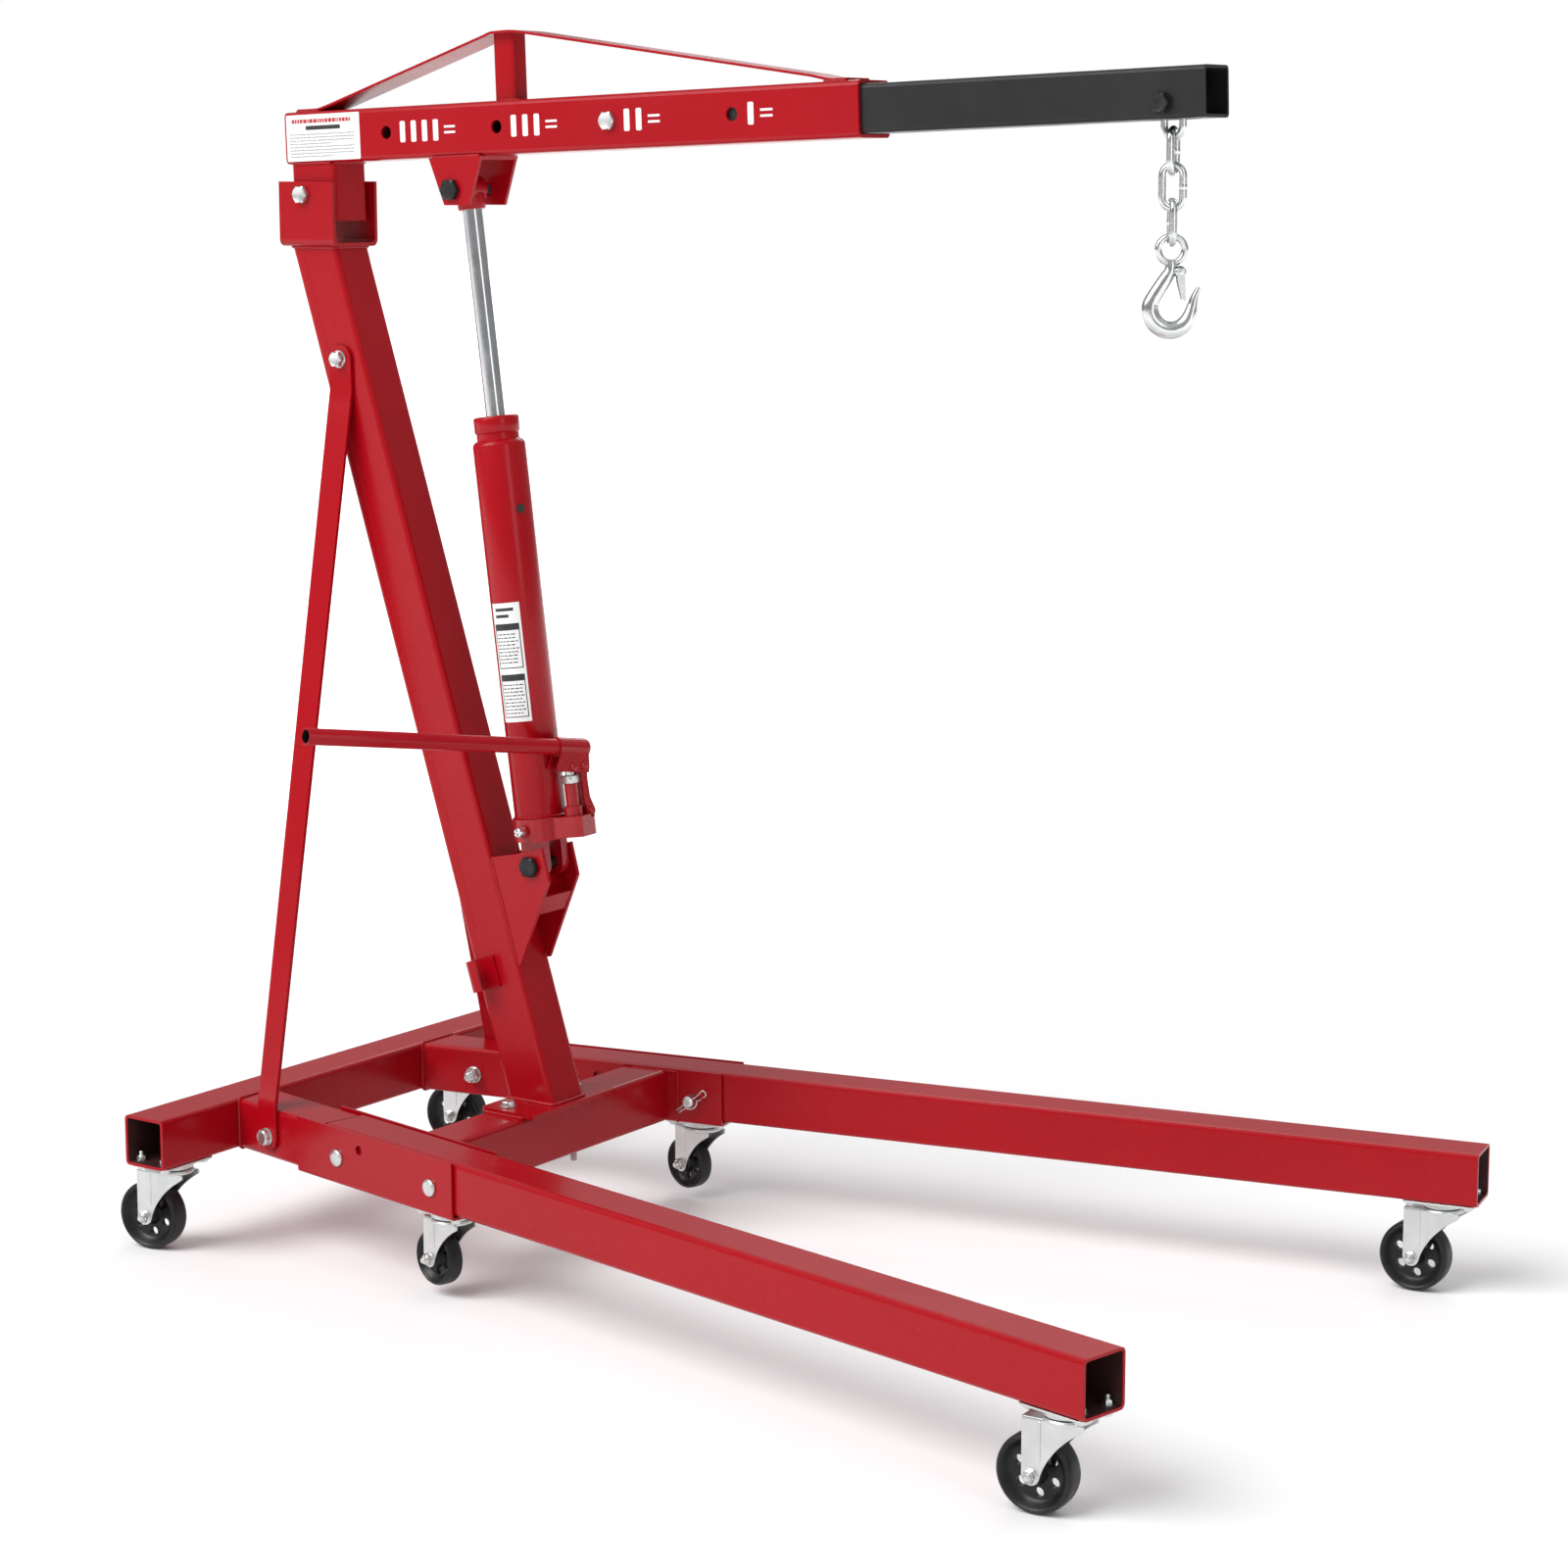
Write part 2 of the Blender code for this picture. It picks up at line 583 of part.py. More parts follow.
def make_casters():
    for side, name in ((-1, "right"), (1, "left")):
        places = (("rear_", REAR, rear_caster_frame(side)), ("mid_", MID, mid_caster_frame(side)), ("tip_", TIP, tip_caster_frame(side)))
        for place, caster, frame in places:
            make(place + name + "_caster_plate", caster_plate(caster), ZINC, frame)
            make_caster(place + name, caster, frame, HEADINGS[place])


# ---- boom ---------------------------------------------------------------------------------------------------
def make_boom_tube():
    v = BOOM_UNDER + BOOM_SIZE / 2
    shape = tube("X", BOOM_REAR, BOOM_FRONT, BOOM_SIZE, BOOM_SIZE, v=v)
    boom = make("boom_tube", shape, RED, boom_frame())
    for at in BOOM_HOLES:
        cut(boom, cylinder(0.0085, -0.05, 0.05, "Y", 16, at, BOOM_HOLE_Z))
    return boom


def make_pivot_block():
    """Short piece of tube welded under the boom's rear end; the pivot bolt passes through it."""
    shape = tube("Z", -0.0355, BOOM_UNDER - GAP, 0.074, 0.065, u=0.009, v=0.0)
    blocked = make("boom_pivot_block", shape, RED, boom_frame())
    cut(blocked, cylinder(PIN_HOLE_R, -0.06, 0.06, "Y", 16))
    return blocked


def strap_line():
    """Middle line of the truss strap over the boom: rear foot, rise, crown over the strut, long fall, front foot."""
    foot = BOOM_UNDER + BOOM_SIZE + GAP + 0.00175
    return [(-0.020, foot), (0.016, foot), (0.036, foot + 0.005), (0.300, 0.1885), (0.312, 0.1925), (0.342, 0.1930),
            (0.360, 0.1910), (0.800, foot + 0.0065), (0.828, foot), (0.852, foot)]


def make_strap():
    """Flat bar strap with its strut, one welded truss over the boom."""
    line = strap_line()
    rings = []
    for i, (x, z) in enumerate(line):
        before, after = line[max(i - 1, 0)], line[min(i + 1, len(line) - 1)]
        along = Vector((after[0] - before[0], 0, after[1] - before[1])).normalized()
        up = Vector((-along.z, 0, along.x)) * 0.00175
        middle = Vector((x, 0, z))
        rings.append([middle - up + Vector((0, -0.025, 0)), middle + up + Vector((0, -0.025, 0)),
                      middle + up + Vector((0, 0.025, 0)), middle - up + Vector((0, 0.025, 0))])
    strap = make("boom_strap", loft(rings), RED, boom_frame())
    strut = tube("Z", BOOM_UNDER + BOOM_SIZE + GAP, 0.1918, 0.033, 0.028, 0.003, 0.004, u=0.3240)
    join(strap, strut)
    return strap


def make_ram_clevis():
    """U bracket under the boom that holds the top of the ram."""
    frame = boom_frame()
    to_boom = frame.inverted()

    def local(x, z):
        p = to_boom @ world(x, 0, z)
        return (p.x, p.z)

    top = BOOM_UNDER - GAP
    low_rear, low_front = local(0.2935, 1.3645), local(0.3345, 1.3645)
    outline = [(0.214, top), low_rear, low_front, (0.300, top)]
    clevis = make("ram_clevis", prism(outline, -0.038, 0.038), RED, frame)
    cut(clevis, prism([(0.15, -0.1), (0.40, -0.1), (0.40, top - 0.005), (0.15, top - 0.005)], -0.033, 0.033))
    pin = to_boom @ world(*RAM_PIN)
    cut(clevis, cylinder(PIN_HOLE_R, -0.06, 0.06, "Y", 16, pin.x, pin.z))
    return clevis


def make_boom_bolts():
    """Heads of the bolt that sets the boom's length and of the bolt at the top of the ram.

    Both stop inside the plate on the right side, so that the extension can slide and the jack's linkage is open.
    """
    half, frame = BOOM_SIZE / 2, boom_frame()
    lock = bolt_head(-half, -half + 0.0038, PIN_R, 0.024, BOOM_HOLES[SET_HOLE], BOOM_HOLE_Z)
    make("boom_lock_bolt", lock, ZINC, frame)
    pin = frame.inverted() @ world(*RAM_PIN)
    make("ram_pin_bolt", bolt_head(-0.038, -0.0333, PIN_R, 0.024, pin.x, pin.z), OXIDE, frame)


def make_extension():
    v = BOOM_UNDER + BOOM_SIZE / 2
    shape = tube("X", EXT_REAR, EXT_FRONT, EXT_SIZE, EXT_SIZE, 0.0035, 0.005, v=v)
    extension = make("boom_extension", shape, BLACK, boom_frame())
    cut(extension, cylinder(0.0085, -0.05, 0.05, "Y", 16, BOOM_HOLES[SET_HOLE], BOOM_HOLE_Z))
    cut(extension, cylinder(CHAIN_BOLT_R + 0.0004, -0.05, 0.05, "Y", 16, CHAIN_BOLT.x, CHAIN_BOLT.z))
    slot = rounded(0.062, 0.020, 0.0099, 4, CHAIN_BOLT.x, 0.0)
    cut(extension, prism(slot, 0.030, 0.060, "Z"))
    return extension


def make_chain_bolt():
    w = EXT_SIZE / 2 + GAP
    return make("chain_bolt", bolt(-w, w, CHAIN_BOLT_R, 0.020, head=0.009, nut=0.010, u=CHAIN_BOLT.x, v=CHAIN_BOLT.z), OXIDE, boom_frame())


# ---- chain and hook -----------------------------------------------------------------------------------------
def chain_top():
    """Where the first link's inside rests on the chain bolt."""
    return boom_frame() @ CHAIN_BOLT + Vector((0, 0, CHAIN_BOLT_R + 0.0004))


def link_shape():
    """One link standing upright in the XZ plane, centred on its middle."""
    bend = (LINK_WIDTH - LINK_WIRE) / 2
    straight = LINK_INSIDE / 2 + LINK_WIRE / 2 - bend
    top = [(u, 0, v) for u, v in arc(0, straight, bend, 0, 180, 6)]
    bottom = [(u, 0, v) for u, v in arc(0, -straight, bend, 180, 360, 6)]
    return sweep(top + bottom, LINK_WIRE / 2, 6, closed=True)


def link_centre(index):
    """Centre of a link; each hangs its inside length below the one above, less a small gap."""
    return chain_top() + Vector((0, 0, -LINK_INSIDE / 2 - index * (LINK_INSIDE - 0.0004)))


def link_turn(index):
    return index * HANG_TURN / 3 + (pi / 2 if index % 2 else 0.0)


def make_links():
    """Each link's origin is where it hangs on the piece above."""
    for index in range(4):
        centre = link_centre(index)
        hang = centre + Vector((0, 0, LINK_INSIDE / 2 - (CHAIN_BOLT_R if index == 0 else LINK_WIRE / 2)))
        shape = placed(link_shape(), Matrix.Translation(centre - hang) @ Matrix.Rotation(link_turn(index), 4, "Z"))
        make("chain_link_%d" % (index + 1), shape, ZINC, Matrix.Translation(hang), smooth=True)


HOOK_EYE_IN, HOOK_EYE_OUT = 0.0110, 0.0190
HOOK_CENTRE, HOOK_BOWL, HOOK_BAR = -0.0672, 0.0232, 0.0100


def hook_frame():
    """Frame at the hook's eye centre, with x towards the hook's open side."""
    last = link_centre(3) + Vector((0, 0, -LINK_INSIDE / 2))
    return Matrix.Translation(last + Vector((0, 0, 0.0004 - HOOK_EYE_IN))) @ Matrix.Rotation(HANG_TURN, 4, "Z")


def hook_path():
    """Middle line of the hook's bar from the neck round the bowl to the tip, with its radius at each point."""
    points, radii = [(0.0, 0, -0.0140), (-0.0010, 0, -0.0240), (-0.0072, 0, -0.0345)], [0.0062, 0.0068, 0.0082]
    for u, v in arc(0, HOOK_CENTRE, HOOK_BOWL, 150, 346, 11):
        points.append((u, 0, v))
        radii.append(HOOK_BAR)
    radii[-1], radii[-2] = 0.0082, 0.0094
    points += [(0.0262, 0, HOOK_CENTRE + 0.0100), (0.0305, 0, HOOK_CENTRE + 0.0220)]
    radii += [0.0056, 0.0036]
    return points, radii


def make_hook():
    points, radii = hook_path()
    middle = (HOOK_EYE_IN + HOOK_EYE_OUT) / 2
    ring = [(u, 0, v) for u, v in circle(middle, 20)]
    hook = make("hook", sweep(ring, (HOOK_EYE_OUT - HOOK_EYE_IN) / 2, 8, closed=True), ZINC, hook_frame())
    join(hook, sweep(points, radii, 10))
    return hook


def latch_pivot():
    return Vector((0.0098, 0, -0.0250))


def make_latch():
    """Safety latch: a bent strip that closes the hook's mouth, hinged at the neck."""
    pivot = latch_pivot()
    tip = Vector((0.0150, 0, -0.0500)) - pivot
    side = [(-0.0044, 0.0040), (-0.0030, -0.0110), (tip.x - 0.0010, tip.z), (tip.x + 0.0020, tip.z), (0.0052, -0.0080), (0.0044, 0.0042)]
    spine = [(0.0030, 0.0032), (0.0056, 0.0026), (tip.x + 0.0034, tip.z + 0.0004), (tip.x + 0.0008, tip.z + 0.0006)]
    latch = make("hook_latch", prism(side, -0.0104, -0.0090), ZINC, hook_frame() @ Matrix.Translation(pivot))
    join(latch, prism(side, 0.0090, 0.0104))
    join(latch, prism(spine, -0.0100, 0.0100))
    return latch


# ---- jack ---------------------------------------------------------------------------------------------------
BASE_LOW, BASE_HIGH, BOSS_TOP, BARREL_TOP = 0.032, 0.062, 0.0735, 0.1135
RIVET_Z, SOCKET_Z = 0.1240, 0.1490
LINK_FOOT_Z = 0.0640
ROCKER = 0.018  # between the plunger's rivet and the link's
FOOT_OUT = 0.0055  # the link's foot, beyond its upper rivet
LUG, ARM_IN, ARM_OUT, CHEEK_IN, CHEEK_OUT = 0.0047, 0.0050, 0.0078, 0.0082, 0.0108  # half widths at the rivets


def make_jack_base():
    """Cast foot of the jack: ears on the bolt, a round seat for the cylinder, and the pump's body beside it."""
    seat = circle(0.0375, 24)
    base = make("jack_base", prism(seat, BASE_LOW, BASE_HIGH, "Z"), RED, jack_frame())
    pump = [(0.0, -0.0170), (0.045, -0.0175), (0.0660, -0.0125), (0.0745, -0.0075), (0.0705, 0.0225), (0.062, 0.0350),
            (0.044, 0.0360), (0.0, 0.024)]
    join(base, prism(pump, BASE_LOW + 0.002, BASE_HIGH - 0.001, "Z"))
    boss = pump_frame(0)
    join(base, cylinder(0.0122, BASE_LOW + 0.004, BOSS_TOP, "Z", 20), boss)
    join(base, cylinder(0.0084, BASE_HIGH, BARREL_TOP - 0.0095, "Z", 16), boss)
    join(base, cylinder(0.0100, BARREL_TOP - 0.0100, BARREL_TOP, "Z", 16), boss)
    foot = ROCKER + FOOT_OUT
    lug = [(foot - 0.0075, BASE_HIGH - 0.006)] + arc(foot, LINK_FOOT_Z, 0.0062, 180, 0, 8) + [(foot + 0.0055, BASE_HIGH - 0.006)]
    join(base, prism(lug, -LUG, LUG, "X"), boss)
    for y0, y1 in ((-0.026, -0.012), (0.012, 0.026)):
        ear = [(-0.018, BASE_LOW + 0.003)] + arc(0, 0, 0.018, 180, 360, 10) + [(0.018, BASE_LOW + 0.003)]
        join(base, prism(ear, y0, y1))
    cut(base, cylinder(PIN_HOLE_R, -0.05, 0.05, "Y", 16))
    cut(base, cylinder(0.0059, BASE_HIGH - 0.010, BARREL_TOP + 0.01, "Z", 12), boss)
    cut(base, cylinder(0.0038, -0.03, 0.03, "X", 10, foot, LINK_FOOT_Z), boss)
    for x0, x1 in ((-0.020, -LUG), (LUG, 0.020)):
        cut(base, block((x0, foot - 0.0080, LINK_FOOT_Z - 0.0075), (x1, foot + 0.02, LINK_FOOT_Z + 0.02)), boss)
    valve = Matrix.Translation((0, -0.030, 0.047))
    join(base, cylinder(0.0085, -0.012, 0.004, "Y", 12), jack_frame() @ valve)
    cut(base, cylinder(0.0045, -0.030, -0.004, "Y", 12), jack_frame() @ valve)
    return base


def make_release_valve():
    """Release valve screw in the jack's foot: a round head with a cross slot, and its stem."""
    frame = jack_frame() @ Matrix.Translation((0, -0.030, 0.047))
    levels = [(-0.0225, 0.0050), (-0.0215, 0.0062), (-0.0125, 0.0062), (-0.0125, 0.0041), (-0.0045, 0.0041)]
    valve = make("release_valve", stack(levels, "Y", 16), ZINC, frame)
    for low, high in (((-0.0075, -0.024, -0.0011), (0.0075, -0.0190, 0.0011)), ((-0.0011, -0.024, -0.0075), (0.0011, -0.0190, 0.0075))):
        cut(valve, block(low, high))
    return valve


def make_cylinder():
    """Long cylinder with its shoulder, top collar and a bore for the ram."""
    low = BASE_HIGH + GAP
    outer = [(CYLINDER_R, low), (CYLINDER_R, 0.5480), (CYLINDER_R - 0.0015, 0.5520), (COLLAR_R - 0.0020, 0.5565),
             (COLLAR_R - 0.0020, 0.5640), (COLLAR_R, 0.5655), (COLLAR_R, 0.5835), (COLLAR_R - 0.0020, 0.5860)]
    inner = [(RAM_R + 0.0006, 0.5860), (RAM_R + 0.0006, low + 0.010)]
    rings = [[(r * cos(2 * pi * i / 20), r * sin(2 * pi * i / 20), z) for i in range(20)] for r, z in outer + inner]
    shape = loft(rings)
    return make("jack_cylinder", shape, RED, jack_frame(), smooth=True)


def ram_length():
    return (RAM_PIN - JACK_FOOT).length


def make_ram():
    """Chromed ram with the round head that carries the top joint."""
    top = ram_length()
    rod = stack([(0.3000, RAM_R - 0.001), (0.3010, RAM_R), (top - 0.020, RAM_R)], "Z", 20)
    ram = make("jack_ram", rod, CHROME, jack_frame(), smooth=True)
    levels = [(top - 0.0257, 0.0165), (top - 0.0235, 0.0180), (top - 0.010, 0.0180)]
    join(ram, stack(levels, "Z", 20))
    join(ram, cylinder(0.0181, -0.0150, 0.0150, "Y", 20, 0, top))
    cut(ram, cylinder(0.0100, -0.05, 0.05, "Y", 16, 0, top))
    return ram


def make_plunger():
    levels = [(BARREL_TOP - 0.0300, 0.0050), (BARREL_TOP - 0.0290, 0.0055), (RIVET_Z + 0.0050, 0.0055)]
    plunger = make("pump_plunger", stack(levels, "Z", 16), CHROME, pump_frame(0))
    low, high = RIVET_Z - 0.0042, RIVET_Z + 0.0036
    slot = [(0.02, low), (0.02, high), (-0.0024, high), (-0.0040, high - 0.0018), (-0.0040, low + 0.0018), (-0.0024, low)]
    cut(plunger, prism(slot, -0.03, 0.03, "X"))  # open towards the link, because the rocker's rivet moves along an arc
    return plunger


def make_link():
    """Two flat arms that tie the rocker to the jack's foot, with the rivet through their lower ends."""
    y, foot = ROCKER, ROCKER + FOOT_OUT
    outline = arc(y, RIVET_Z, 0.0056, 0, 180, 5) + [(y - 0.0046, 0.105), (y - 0.0040, 0.078)]
    outline += arc(foot, LINK_FOOT_Z, 0.0068, 165, 375, 8) + [(y + 0.0058, 0.082), (y + 0.0046, 0.105)]
    link = make("pump_link", prism(outline, -ARM_OUT, -ARM_IN, "X"), RED, pump_frame(0))
    join(link, prism(outline, ARM_IN, ARM_OUT, "X"))
    join(link, cylinder(0.0034, -ARM_OUT - 0.002, ARM_OUT + 0.002, "X", 10, foot, LINK_FOOT_Z))
    return cut(link, cylinder(0.0034, -0.03, 0.03, "X", 10, y, RIVET_Z))


def rocker_frame():
    return pump_frame(RIVET_Z) @ Matrix.Translation((0, ROCKER, 0))


HANDLE_RISE = radians(9.7)
HANDLE_R, HANDLE_LENGTH, SOCKET_LENGTH = 0.0105, 0.425, 0.050
SOCKET_R, SOCKET_BACK = 0.0128, 0.0100  # the socket's middle lies this far towards the handle from the link's rivet
SOCKET_UP = SOCKET_Z - RIVET_Z


def socket_turn():
    """Frame of the handle's axis: y runs back out of the socket, away from the handle."""
    return rocker_frame() @ Matrix.Translation((0, -SOCKET_BACK, SOCKET_UP)) @ Matrix.Rotation(-HANDLE_RISE, 4, "X")


def make_socket():
    """Rocker of the pump: a closed tube for the handle over two cheeks with rivets to the plunger and the link."""
    turned = socket_turn()
    to_rocker = rocker_frame().inverted() @ turned
    half = SOCKET_LENGTH / 2
    levels = [(-half, SOCKET_R), (half - 0.0060, SOCKET_R), (half - 0.0015, SOCKET_R * 0.86), (half + 0.0015, SOCKET_R * 0.50)]
    socket = make("pump_socket", placed(stack(levels, "Y", 20), to_rocker), RED, rocker_frame())
    cheek = [(0.0095, 0.0200), (0.0082, -0.0020), (0.0060, -0.0100), (-0.0260, -0.0050), (-0.0440, -0.0004), (-0.0425, 0.0060),
             (-0.0330, 0.0240)]
    for low, high in ((-CHEEK_OUT, -CHEEK_IN), (CHEEK_IN, CHEEK_OUT)):
        join(socket, prism(cheek, low, high, "X"))
    for at in (0.0, -ROCKER):
        join(socket, cylinder(0.0030, -CHEEK_OUT, CHEEK_OUT, "X", 10, at, 0.0))
        for end in (-1, 1):
            inner, outer = sorted((end * (CHEEK_OUT - 0.0010), end * (CHEEK_OUT + 0.0018)))
            join(socket, cylinder(0.0052, inner, outer, "X", 10, at, 0.0))
    cut(socket, prism(circle(HANDLE_R + 0.0004, 20), -SOCKET_LENGTH, half - 0.0080, "Y"), turned)
    return socket


def make_handle():
    """Pump handle: a plain tube that slides out of the rocker's socket."""
    end = SOCKET_LENGTH / 2 - 0.0085
    rings = []
    for radius, at in ((HANDLE_R, end), (HANDLE_R, end - HANDLE_LENGTH), (HANDLE_R - 0.0018, end - HANDLE_LENGTH), (HANDLE_R - 0.0018, end)):
        rings.append([(u, at, v) for u, v in circle(radius, 20)])
    return make("pump_handle", loft(rings, closed=True), RED, socket_turn(), smooth=True)


# ---- build --------------------------------------------------------------------------------------------------
def clear_scene():
    for obj in list(bpy.data.objects):
        bpy.data.objects.remove(obj)


def build():
    clear_scene()
    make_crossbar()
    for side, name in ((-1, "right"), (1, "left")):
        make_rail(side, name)
        make_channel(side, name)
        make_leg(side, name)
        make_leg_pins(side, name)
        make(name + "_brace", brace_shape(side), RED, Matrix.Identity(4))
    make_front_beam()
    make_foot_plate()
    make_post()
    make_head_bracket()
    make_jack_bracket()
    make_boom_pivot_bolt()
    make_jack_foot_bolt()
    make_casters()
    make_boom_tube()
    make_pivot_block()
    make_strap()
    make_ram_clevis()
    make_boom_bolts()
    make_extension()
    make_chain_bolt()
    make_links()
    make_hook()
    make_latch()
    make_jack_base()
    make_release_valve()
    make_cylinder()
    make_ram()
    make_plunger()
    make_link()
    make_socket()
    make_handle()


build()
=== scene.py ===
"""Engine hoist crane, the detailed model over its CAD frame: materials, fasteners, casters, chain and jack."""

from math import atan2, cos, pi, radians, sin, tan

import bmesh
import bpy
from mathutils import Matrix, Vector

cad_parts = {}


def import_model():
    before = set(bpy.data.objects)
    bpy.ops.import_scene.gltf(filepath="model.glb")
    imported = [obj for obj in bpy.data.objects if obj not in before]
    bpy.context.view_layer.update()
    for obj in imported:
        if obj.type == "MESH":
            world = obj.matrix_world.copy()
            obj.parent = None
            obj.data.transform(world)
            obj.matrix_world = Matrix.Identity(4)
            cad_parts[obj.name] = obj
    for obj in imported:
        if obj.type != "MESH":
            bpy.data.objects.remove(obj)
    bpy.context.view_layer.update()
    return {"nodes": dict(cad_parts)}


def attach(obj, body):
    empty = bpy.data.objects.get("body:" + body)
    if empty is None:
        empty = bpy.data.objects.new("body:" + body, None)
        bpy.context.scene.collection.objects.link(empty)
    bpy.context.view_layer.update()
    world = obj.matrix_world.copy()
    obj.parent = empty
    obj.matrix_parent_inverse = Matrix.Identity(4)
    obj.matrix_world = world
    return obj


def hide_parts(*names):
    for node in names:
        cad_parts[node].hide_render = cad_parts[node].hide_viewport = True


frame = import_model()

NODES = frame["nodes"]

# ---- driving dimensions, the same as the CAD part's ----------------------------------------------------------
ORIGIN_X, GAP, BASE_Z, TUBE = 0.7465, 0.0003, 0.1235, 0.0675
RAIL_Y, SPLAY = 0.2215, radians(11.3)
CHANNEL_START, CHANNEL_PLATE = 0.135, 0.0035
LEG_TIP, LEG_LIFT, LEG_PIVOT, LEG_PIVOT_Z, LOCK_PIN = 1.4915, 0.0012, 0.2204, 0.0315, 0.4113
BEAM_TOP, FOOT_PLATE = 0.068, 0.006
POST_LEAN, POST_WIDTH, POST_DEPTH, POST_FOOT_X = radians(17.5), 0.0665, 0.073, 0.4137
POST_BOTTOM = BASE_Z + BEAM_TOP + 2 * GAP + FOOT_PLATE
BOOM_PIVOT, BOOM_TILT = Vector((0.056, 0.0, 1.377)), radians(1.95)
BOOM_SIZE, BOOM_UNDER, BOOM_REAR = 0.0675, 0.040, -0.0344
BOOM_HOLES, BOOM_HOLE_Z = (0.1406, 0.3243, 0.5031, 0.6901), 0.075
EXT_SIZE, EXT_FRONT = 0.058, 1.3303
CHAIN_BOLT, CHAIN_BOLT_R = Vector((1.2765, 0.0, 0.063)), 0.006
JACK_FOOT, RAM_PIN = Vector((0.418, 0.0, 0.514)), Vector((0.305, 0.0, 1.384))
CYLINDER_R, COLLAR_R, RAM_R = 0.0343, 0.0296, 0.0125
PUMP, PUMP_TURN = Vector((0.052, 0.004, 0.0)), radians(14.3)
BASE_HIGH, BARREL_TOP, RIVET_Z, SOCKET_Z, LINK_FOOT_Z = 0.062, 0.1135, 0.1240, 0.1490, 0.0640
ROCKER, FOOT_OUT, ARM_OUT, CHEEK_OUT = 0.018, 0.0055, 0.0078, 0.0108
HANDLE_RISE, HANDLE_R, HANDLE_LENGTH, SOCKET_LENGTH, SOCKET_BACK = radians(9.7), 0.0105, 0.425, 0.050, 0.0100
LINK_WIRE, LINK_INSIDE, LINK_WIDTH, HANG_TURN = 0.0085, 0.040, 0.032, radians(36)
BRACE_TOP_Z, BRACE_THICK, PIN_R = 1.163, 0.005, 0.008


def world(x, y, z):
    return Vector((x - ORIGIN_X, y, z))


def rail_frame(side, along=0.0, up=0.0):
    turn = Matrix.Rotation(side * SPLAY, 4, "Z")
    return Matrix.Translation(world(TUBE, side * RAIL_Y, BASE_Z)) @ turn @ Matrix.Translation((along, 0, up))


def pin_frame(side, along, up):
    """Cross hole of a rail or channel, y running inwards from its outer side."""
    return rail_frame(side, along, up) @ Matrix.Rotation(0 if side < 0 else pi, 4, "Z")


def boom_frame():
    return Matrix.Translation(world(*BOOM_PIVOT)) @ Matrix.Rotation(-BOOM_TILT, 4, "Y")


def jack_frame(along=0.0):
    lean = atan2(RAM_PIN.x - JACK_FOOT.x, RAM_PIN.z - JACK_FOOT.z)
    return Matrix.Translation(world(*JACK_FOOT)) @ Matrix.Rotation(lean, 4,
            "Y") @ Matrix.Translation((0, 0, along))


def pump_frame(along):
    return jack_frame() @ Matrix.Translation((PUMP.x, PUMP.y, along)) @ Matrix.Rotation(-PUMP_TURN, 4, "Z")


def rocker_frame():
    return pump_frame(RIVET_Z) @ Matrix.Translation((0, ROCKER, 0))


def socket_frame():
    lift = Matrix.Translation((0, -SOCKET_BACK, SOCKET_Z - RIVET_Z))
    return rocker_frame() @ lift @ Matrix.Rotation(-HANDLE_RISE, 4, "X")


def post_point(across, y, z):
    x = POST_FOOT_X + across / cos(POST_LEAN) - (z - POST_BOTTOM) * tan(POST_LEAN)
    return world(x, y, z)


# ---- materials ----------------------------------------------------------------------------------------------
class Nodes:
    """Small helper that adds and links shader nodes."""

    def __init__(self, name):
        self.material = bpy.data.materials.new(name)
        self.material.use_nodes = True
        self.tree = self.material.node_tree
        self.shader = self.tree.nodes["Principled BSDF"]
        self.place = self.tree.nodes.new("ShaderNodeTexCoord").outputs["Object"]

    def add(self, kind, **values):
        node = self.tree.nodes.new(kind)
        for key, value in values.items():
            setattr(node, key, value)
        return node

    def link(self, a, b):
        self.tree.links.new(a, b)

    def noise(self, scale, detail=3.0, stretch=None):
        place = self.place
        if stretch:
            mapping = self.add("ShaderNodeMapping")
            mapping.inputs["Scale"].default_value = stretch
            self.link(place, mapping.inputs["Vector"])
            place = mapping.outputs["Vector"]
        node = self.add("ShaderNodeTexNoise")
        node.inputs["Scale"].default_value = scale
        node.inputs["Detail"].default_value = detail
        self.link(place, node.inputs["Vector"])
        return node.outputs["Fac"]

    def ramp(self, source, low, high, a, b):
        node = self.add("ShaderNodeValToRGB")
        node.color_ramp.elements[0].position, node.color_ramp.elements[1].position = low, high
        node.color_ramp.elements[0].color, node.color_ramp.elements[1].color = (*a, 1), (*b, 1)
        self.link(source, node.inputs["Fac"])
        return node.outputs["Color"]

    def span(self, source, low, high, a, b):
        node = self.add("ShaderNodeMapRange")
        for key, value in (("From Min", low), ("From Max", high), ("To Min", a), ("To Max", b)):
            node.inputs[key].default_value = value
        self.link(source, node.inputs["Value"])
        return node.outputs["Result"]

    def bump(self, source, strength, distance):
        node = self.add("ShaderNodeBump")
        node.inputs["Strength"].default_value = strength
        node.inputs["Distance"].default_value = distance
        self.link(source, node.inputs["Height"])
        self.link(node.outputs["Normal"], self.shader.inputs["Normal"])

    def set(self, **values):
        for key, value in values.items():
            self.shader.inputs[key.replace("_", " ")].default_value = value


